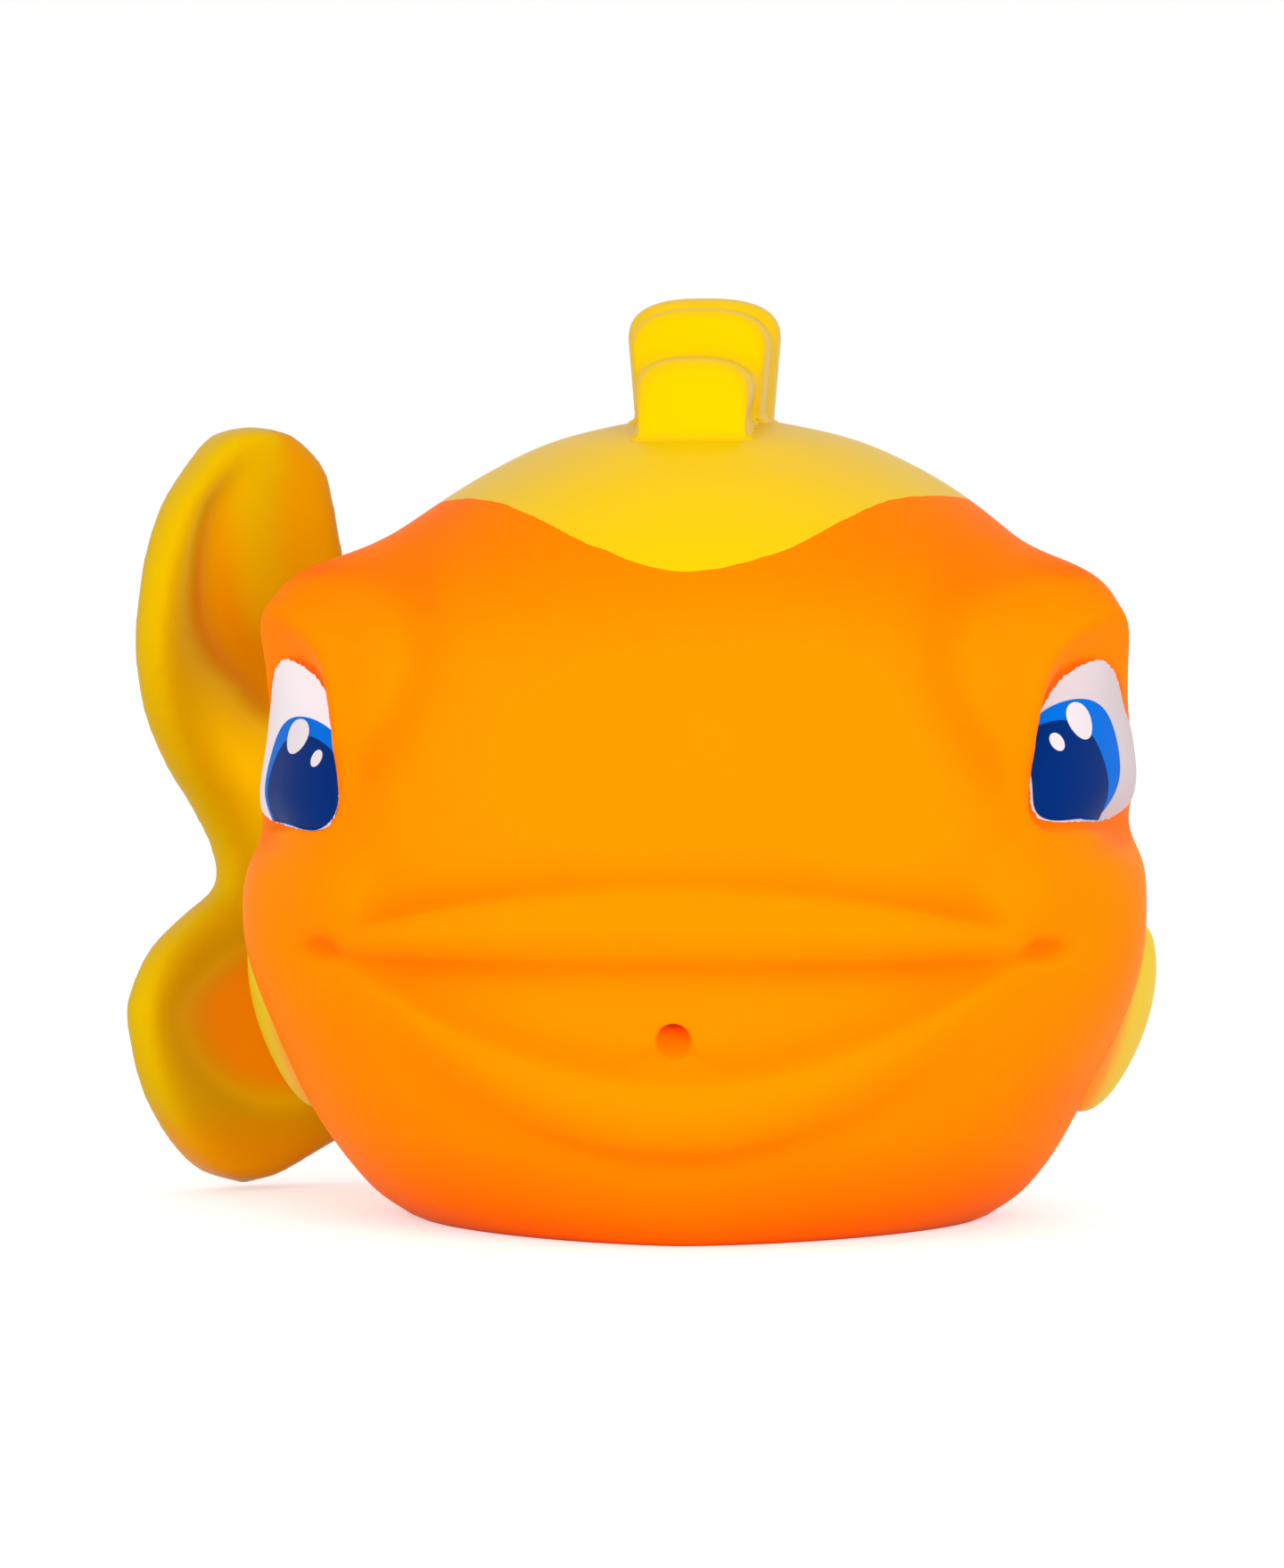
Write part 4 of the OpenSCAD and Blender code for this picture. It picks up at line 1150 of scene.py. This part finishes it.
# Each print by side: its middle and half sizes, then its lean towards the front, inset from the eye's edge,
# place in the stack of layers, ink, slot and node
eye_prints = [
    ("iris", {"left": ((-14.8, 41.0), (7.9, 5.1)), "right": ((-15.0, 38.4), (9.0, 6.2))}, 0, 0.10, 1,
     blue_ink, "blue_ink", "iris"),
    ("pupil", {"left": ((-17.6, 38.9), (6.8, 5.6)), "right": ((-15.7, 37.6), (8.1, 5.5))}, 0, 0.22, 2,
     navy_ink, "navy_ink", "pupil"),
    ("big_glint", {"left": ((-14.7, 44.3), (1.75, 1.55)), "right": ((-14.6, 42.9), (2.1, 1.5))}, 0.25, 0, 3,
     glint_ink, "glint_ink", "glints"),
    ("small_glint", {"left": ((-18.5, 42.7), (0.85, 0.78)), "right": ((-19.0, 41.2), (0.75, 0.74))},
     0.1, 0, 3, glint_ink, "glint_ink", "glints"),
]


def dress_print(piece, ink, node):
    piece.data.materials.append(ink)
    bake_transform(piece)
    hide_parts(node)


for side, sign in both_sides:
    edge = printed_edge(side)
    speckle = np.random.default_rng(white_seed).normal(size=(eye_columns, 1)) * white_ragged
    white = ink_layer(f"{side}_white_print", edge + unit(edge - eye_middle) * speckle, eye_middle, 0, sign)
    dress_print(white, white_ink[side], f"{side}_eye_white")
    for label, by_side, lean, inset, layer, ink, slot, node in eye_prints:
        middle, half = (np.array(pair) for pair in by_side[side])
        oval = oval_edge(edge, middle, half, lean, inset)
        layer_piece = ink_layer(f"{side}_{label}_print", oval, middle, layer, sign)
        dress_print(layer_piece, ink, f"{side}_{node}")

# Squeaker: a plug of ivory plastic that snaps into the floor, with a half-round tube, a clamp and a guard
# in its barrel. These are injection moulded and keep their solid shapes, with a fine moulded grain.
squeaker_ivory = paint(232, 226, 208)
squeaker_deep_ivory = paint(214, 206, 186)
squeaker_rough_share = 0.38
squeaker_plastic = vinyl_material("squeaker_ivory_plastic", squeaker_ivory, squeaker_deep_ivory,
                                  squeaker_rough_share)[0]
for node in ("squeaker_housing", "reed_holder", "reed_clamp", "squeaker_cap"):
    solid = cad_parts[node]
    solid.data.materials.clear()
    solid.data.materials.append(squeaker_plastic)

# Reed: a springy tongue of thin film, cut with a round tip, that is held at its root by the clamp and beats
# on the tube's open face.
reed_low, reed_high = (np.array(corner) / metres_per_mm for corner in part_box("reed"))
reed_rows = 40
reed_silver = paint(200, 206, 212)
reed_deep_silver = paint(182, 190, 198)
reed_rough_share = 0.22
reed_film = vinyl_material("reed_film", reed_silver, reed_deep_silver, reed_rough_share)[0]
reed_half_w = (reed_high[0] - reed_low[0]) / 2
reed_corner_steps = 6


def reed_ring(z):
    to_tip = max(0, reed_half_w - (reed_high[2] - z))
    half_w = math.sqrt(max(reed_half_w ** 2 - to_tip ** 2, 0))
    xs = np.linspace(-half_w, half_w, reed_corner_steps)
    faces = ((xs, reed_low[1]), (xs[::-1], reed_high[1]))
    return np.array([(x, y, z) for row, y in faces for x in row])


reed_tip_share = 0.995
reed_shares = reed_tip_share * np.arange(reed_rows + 1) / reed_rows
reed_heights = reed_low[2] + (reed_high[2] - reed_low[2]) * reed_shares
reed_rings = [reed_ring(z) for z in reed_heights]
reed_tongue = piece_from("reed_tongue", loft(reed_rings))
reed_tongue.data.materials.append(reed_film)
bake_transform(reed_tongue)
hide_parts("reed")

# Studio: a white floor in a white room, soft lamps in front and at both sides, and the camera at the height
# and angle of the photograph.
camera_d = 0.600
camera_height = 0.0567
camera_azimuth = math.radians(3.2)
camera_left = math.radians(0.474)
camera_down = math.radians(1.757)
photo_height_px = 1759
focal_px = 7614
sensor_mm = 36
camera_data = bpy.data.cameras.new("photo_camera")
camera_data.sensor_fit = "VERTICAL"
camera_data.sensor_height = sensor_mm
camera_data.lens = focal_px / photo_height_px * sensor_mm
camera = bpy.data.objects.new("photo_camera", camera_data)
camera.location = (camera_d * math.sin(camera_azimuth), -camera_d * math.cos(camera_azimuth), camera_height)
camera.rotation_euler = (math.pi / 2 - camera_down, 0, camera_azimuth + camera_left)
bpy.context.scene.collection.objects.link(camera)
bpy.context.scene.camera = camera

floor_half = 6
floor_white = 0.85
floor_glow = 0.45
bm = bmesh.new()
bmesh.ops.create_grid(bm, x_segments=1, y_segments=1, size=floor_half)
floor = piece_from("floor", bm)
floor_paper = bpy.data.materials.new("floor_paper")
floor_paper.use_nodes = True


def seen_by_eye(tree):
    """1 for rays that come from the camera, straight or by way of gloss or glass."""
    ray = tree.nodes.new("ShaderNodeLightPath")
    seen = add_math(tree, "MAXIMUM", ray.outputs["Is Camera Ray"], ray.outputs["Is Transmission Ray"])
    return add_math(tree, "MAXIMUM", seen, ray.outputs["Is Glossy Ray"])


floor_tree = floor_paper.node_tree
floor_shader = floor_tree.nodes["Principled BSDF"]
set_inputs(floor_shader, {"Base Color": (floor_white, floor_white, floor_white, 1), "Roughness": 1,
                          "Specular IOR Level": 0, "Emission Color": (1, 1, 1, 1)})
floor_tree.links.new(add_math(floor_tree, "MULTIPLY", seen_by_eye(floor_tree), floor_glow),
                     floor_shader.inputs["Emission Strength"])
floor.data.materials.append(floor_paper)

# Lamp name, place, side of the square and power in watts
lamps = [
    ("front_lamp", (-0.12, -0.92, 0.18), 0.50, 4.3),
    ("right_lamp", (0.50, -0.81, 0.28), 0.50, 4.3),
    ("left_lamp", (-0.80, -0.55, 0.18), 0.50, 1.4),
]
toy_middle_z = 0.035
toy_middle = Vector((0, 0, toy_middle_z))
for name, place, side, watts in lamps:
    lamp_data = bpy.data.lights.new(name, "AREA")
    lamp_data.shape = "SQUARE"
    lamp_data.size = side
    lamp_data.energy = watts
    lamp = bpy.data.objects.new(name, lamp_data)
    lamp.location = place
    lamp.rotation_euler = (toy_middle - Vector(place)).to_track_quat("-Z", "Y").to_euler()
    bpy.context.scene.collection.objects.link(lamp)

room_light = 0.74
world = bpy.data.worlds.new("studio")
bpy.context.scene.world = world
world.use_nodes = True
room = world.node_tree
background = room.nodes["Background"]
strength = add_math(room, "ADD", add_math(room, "MULTIPLY", seen_by_eye(room), 1 - room_light), room_light)
background.inputs["Color"].default_value = (1, 1, 1, 1)
room.links.new(strength, background.inputs["Strength"])
bpy.context.scene.view_settings.view_transform = "Standard"

bpy.context.view_layer.update()
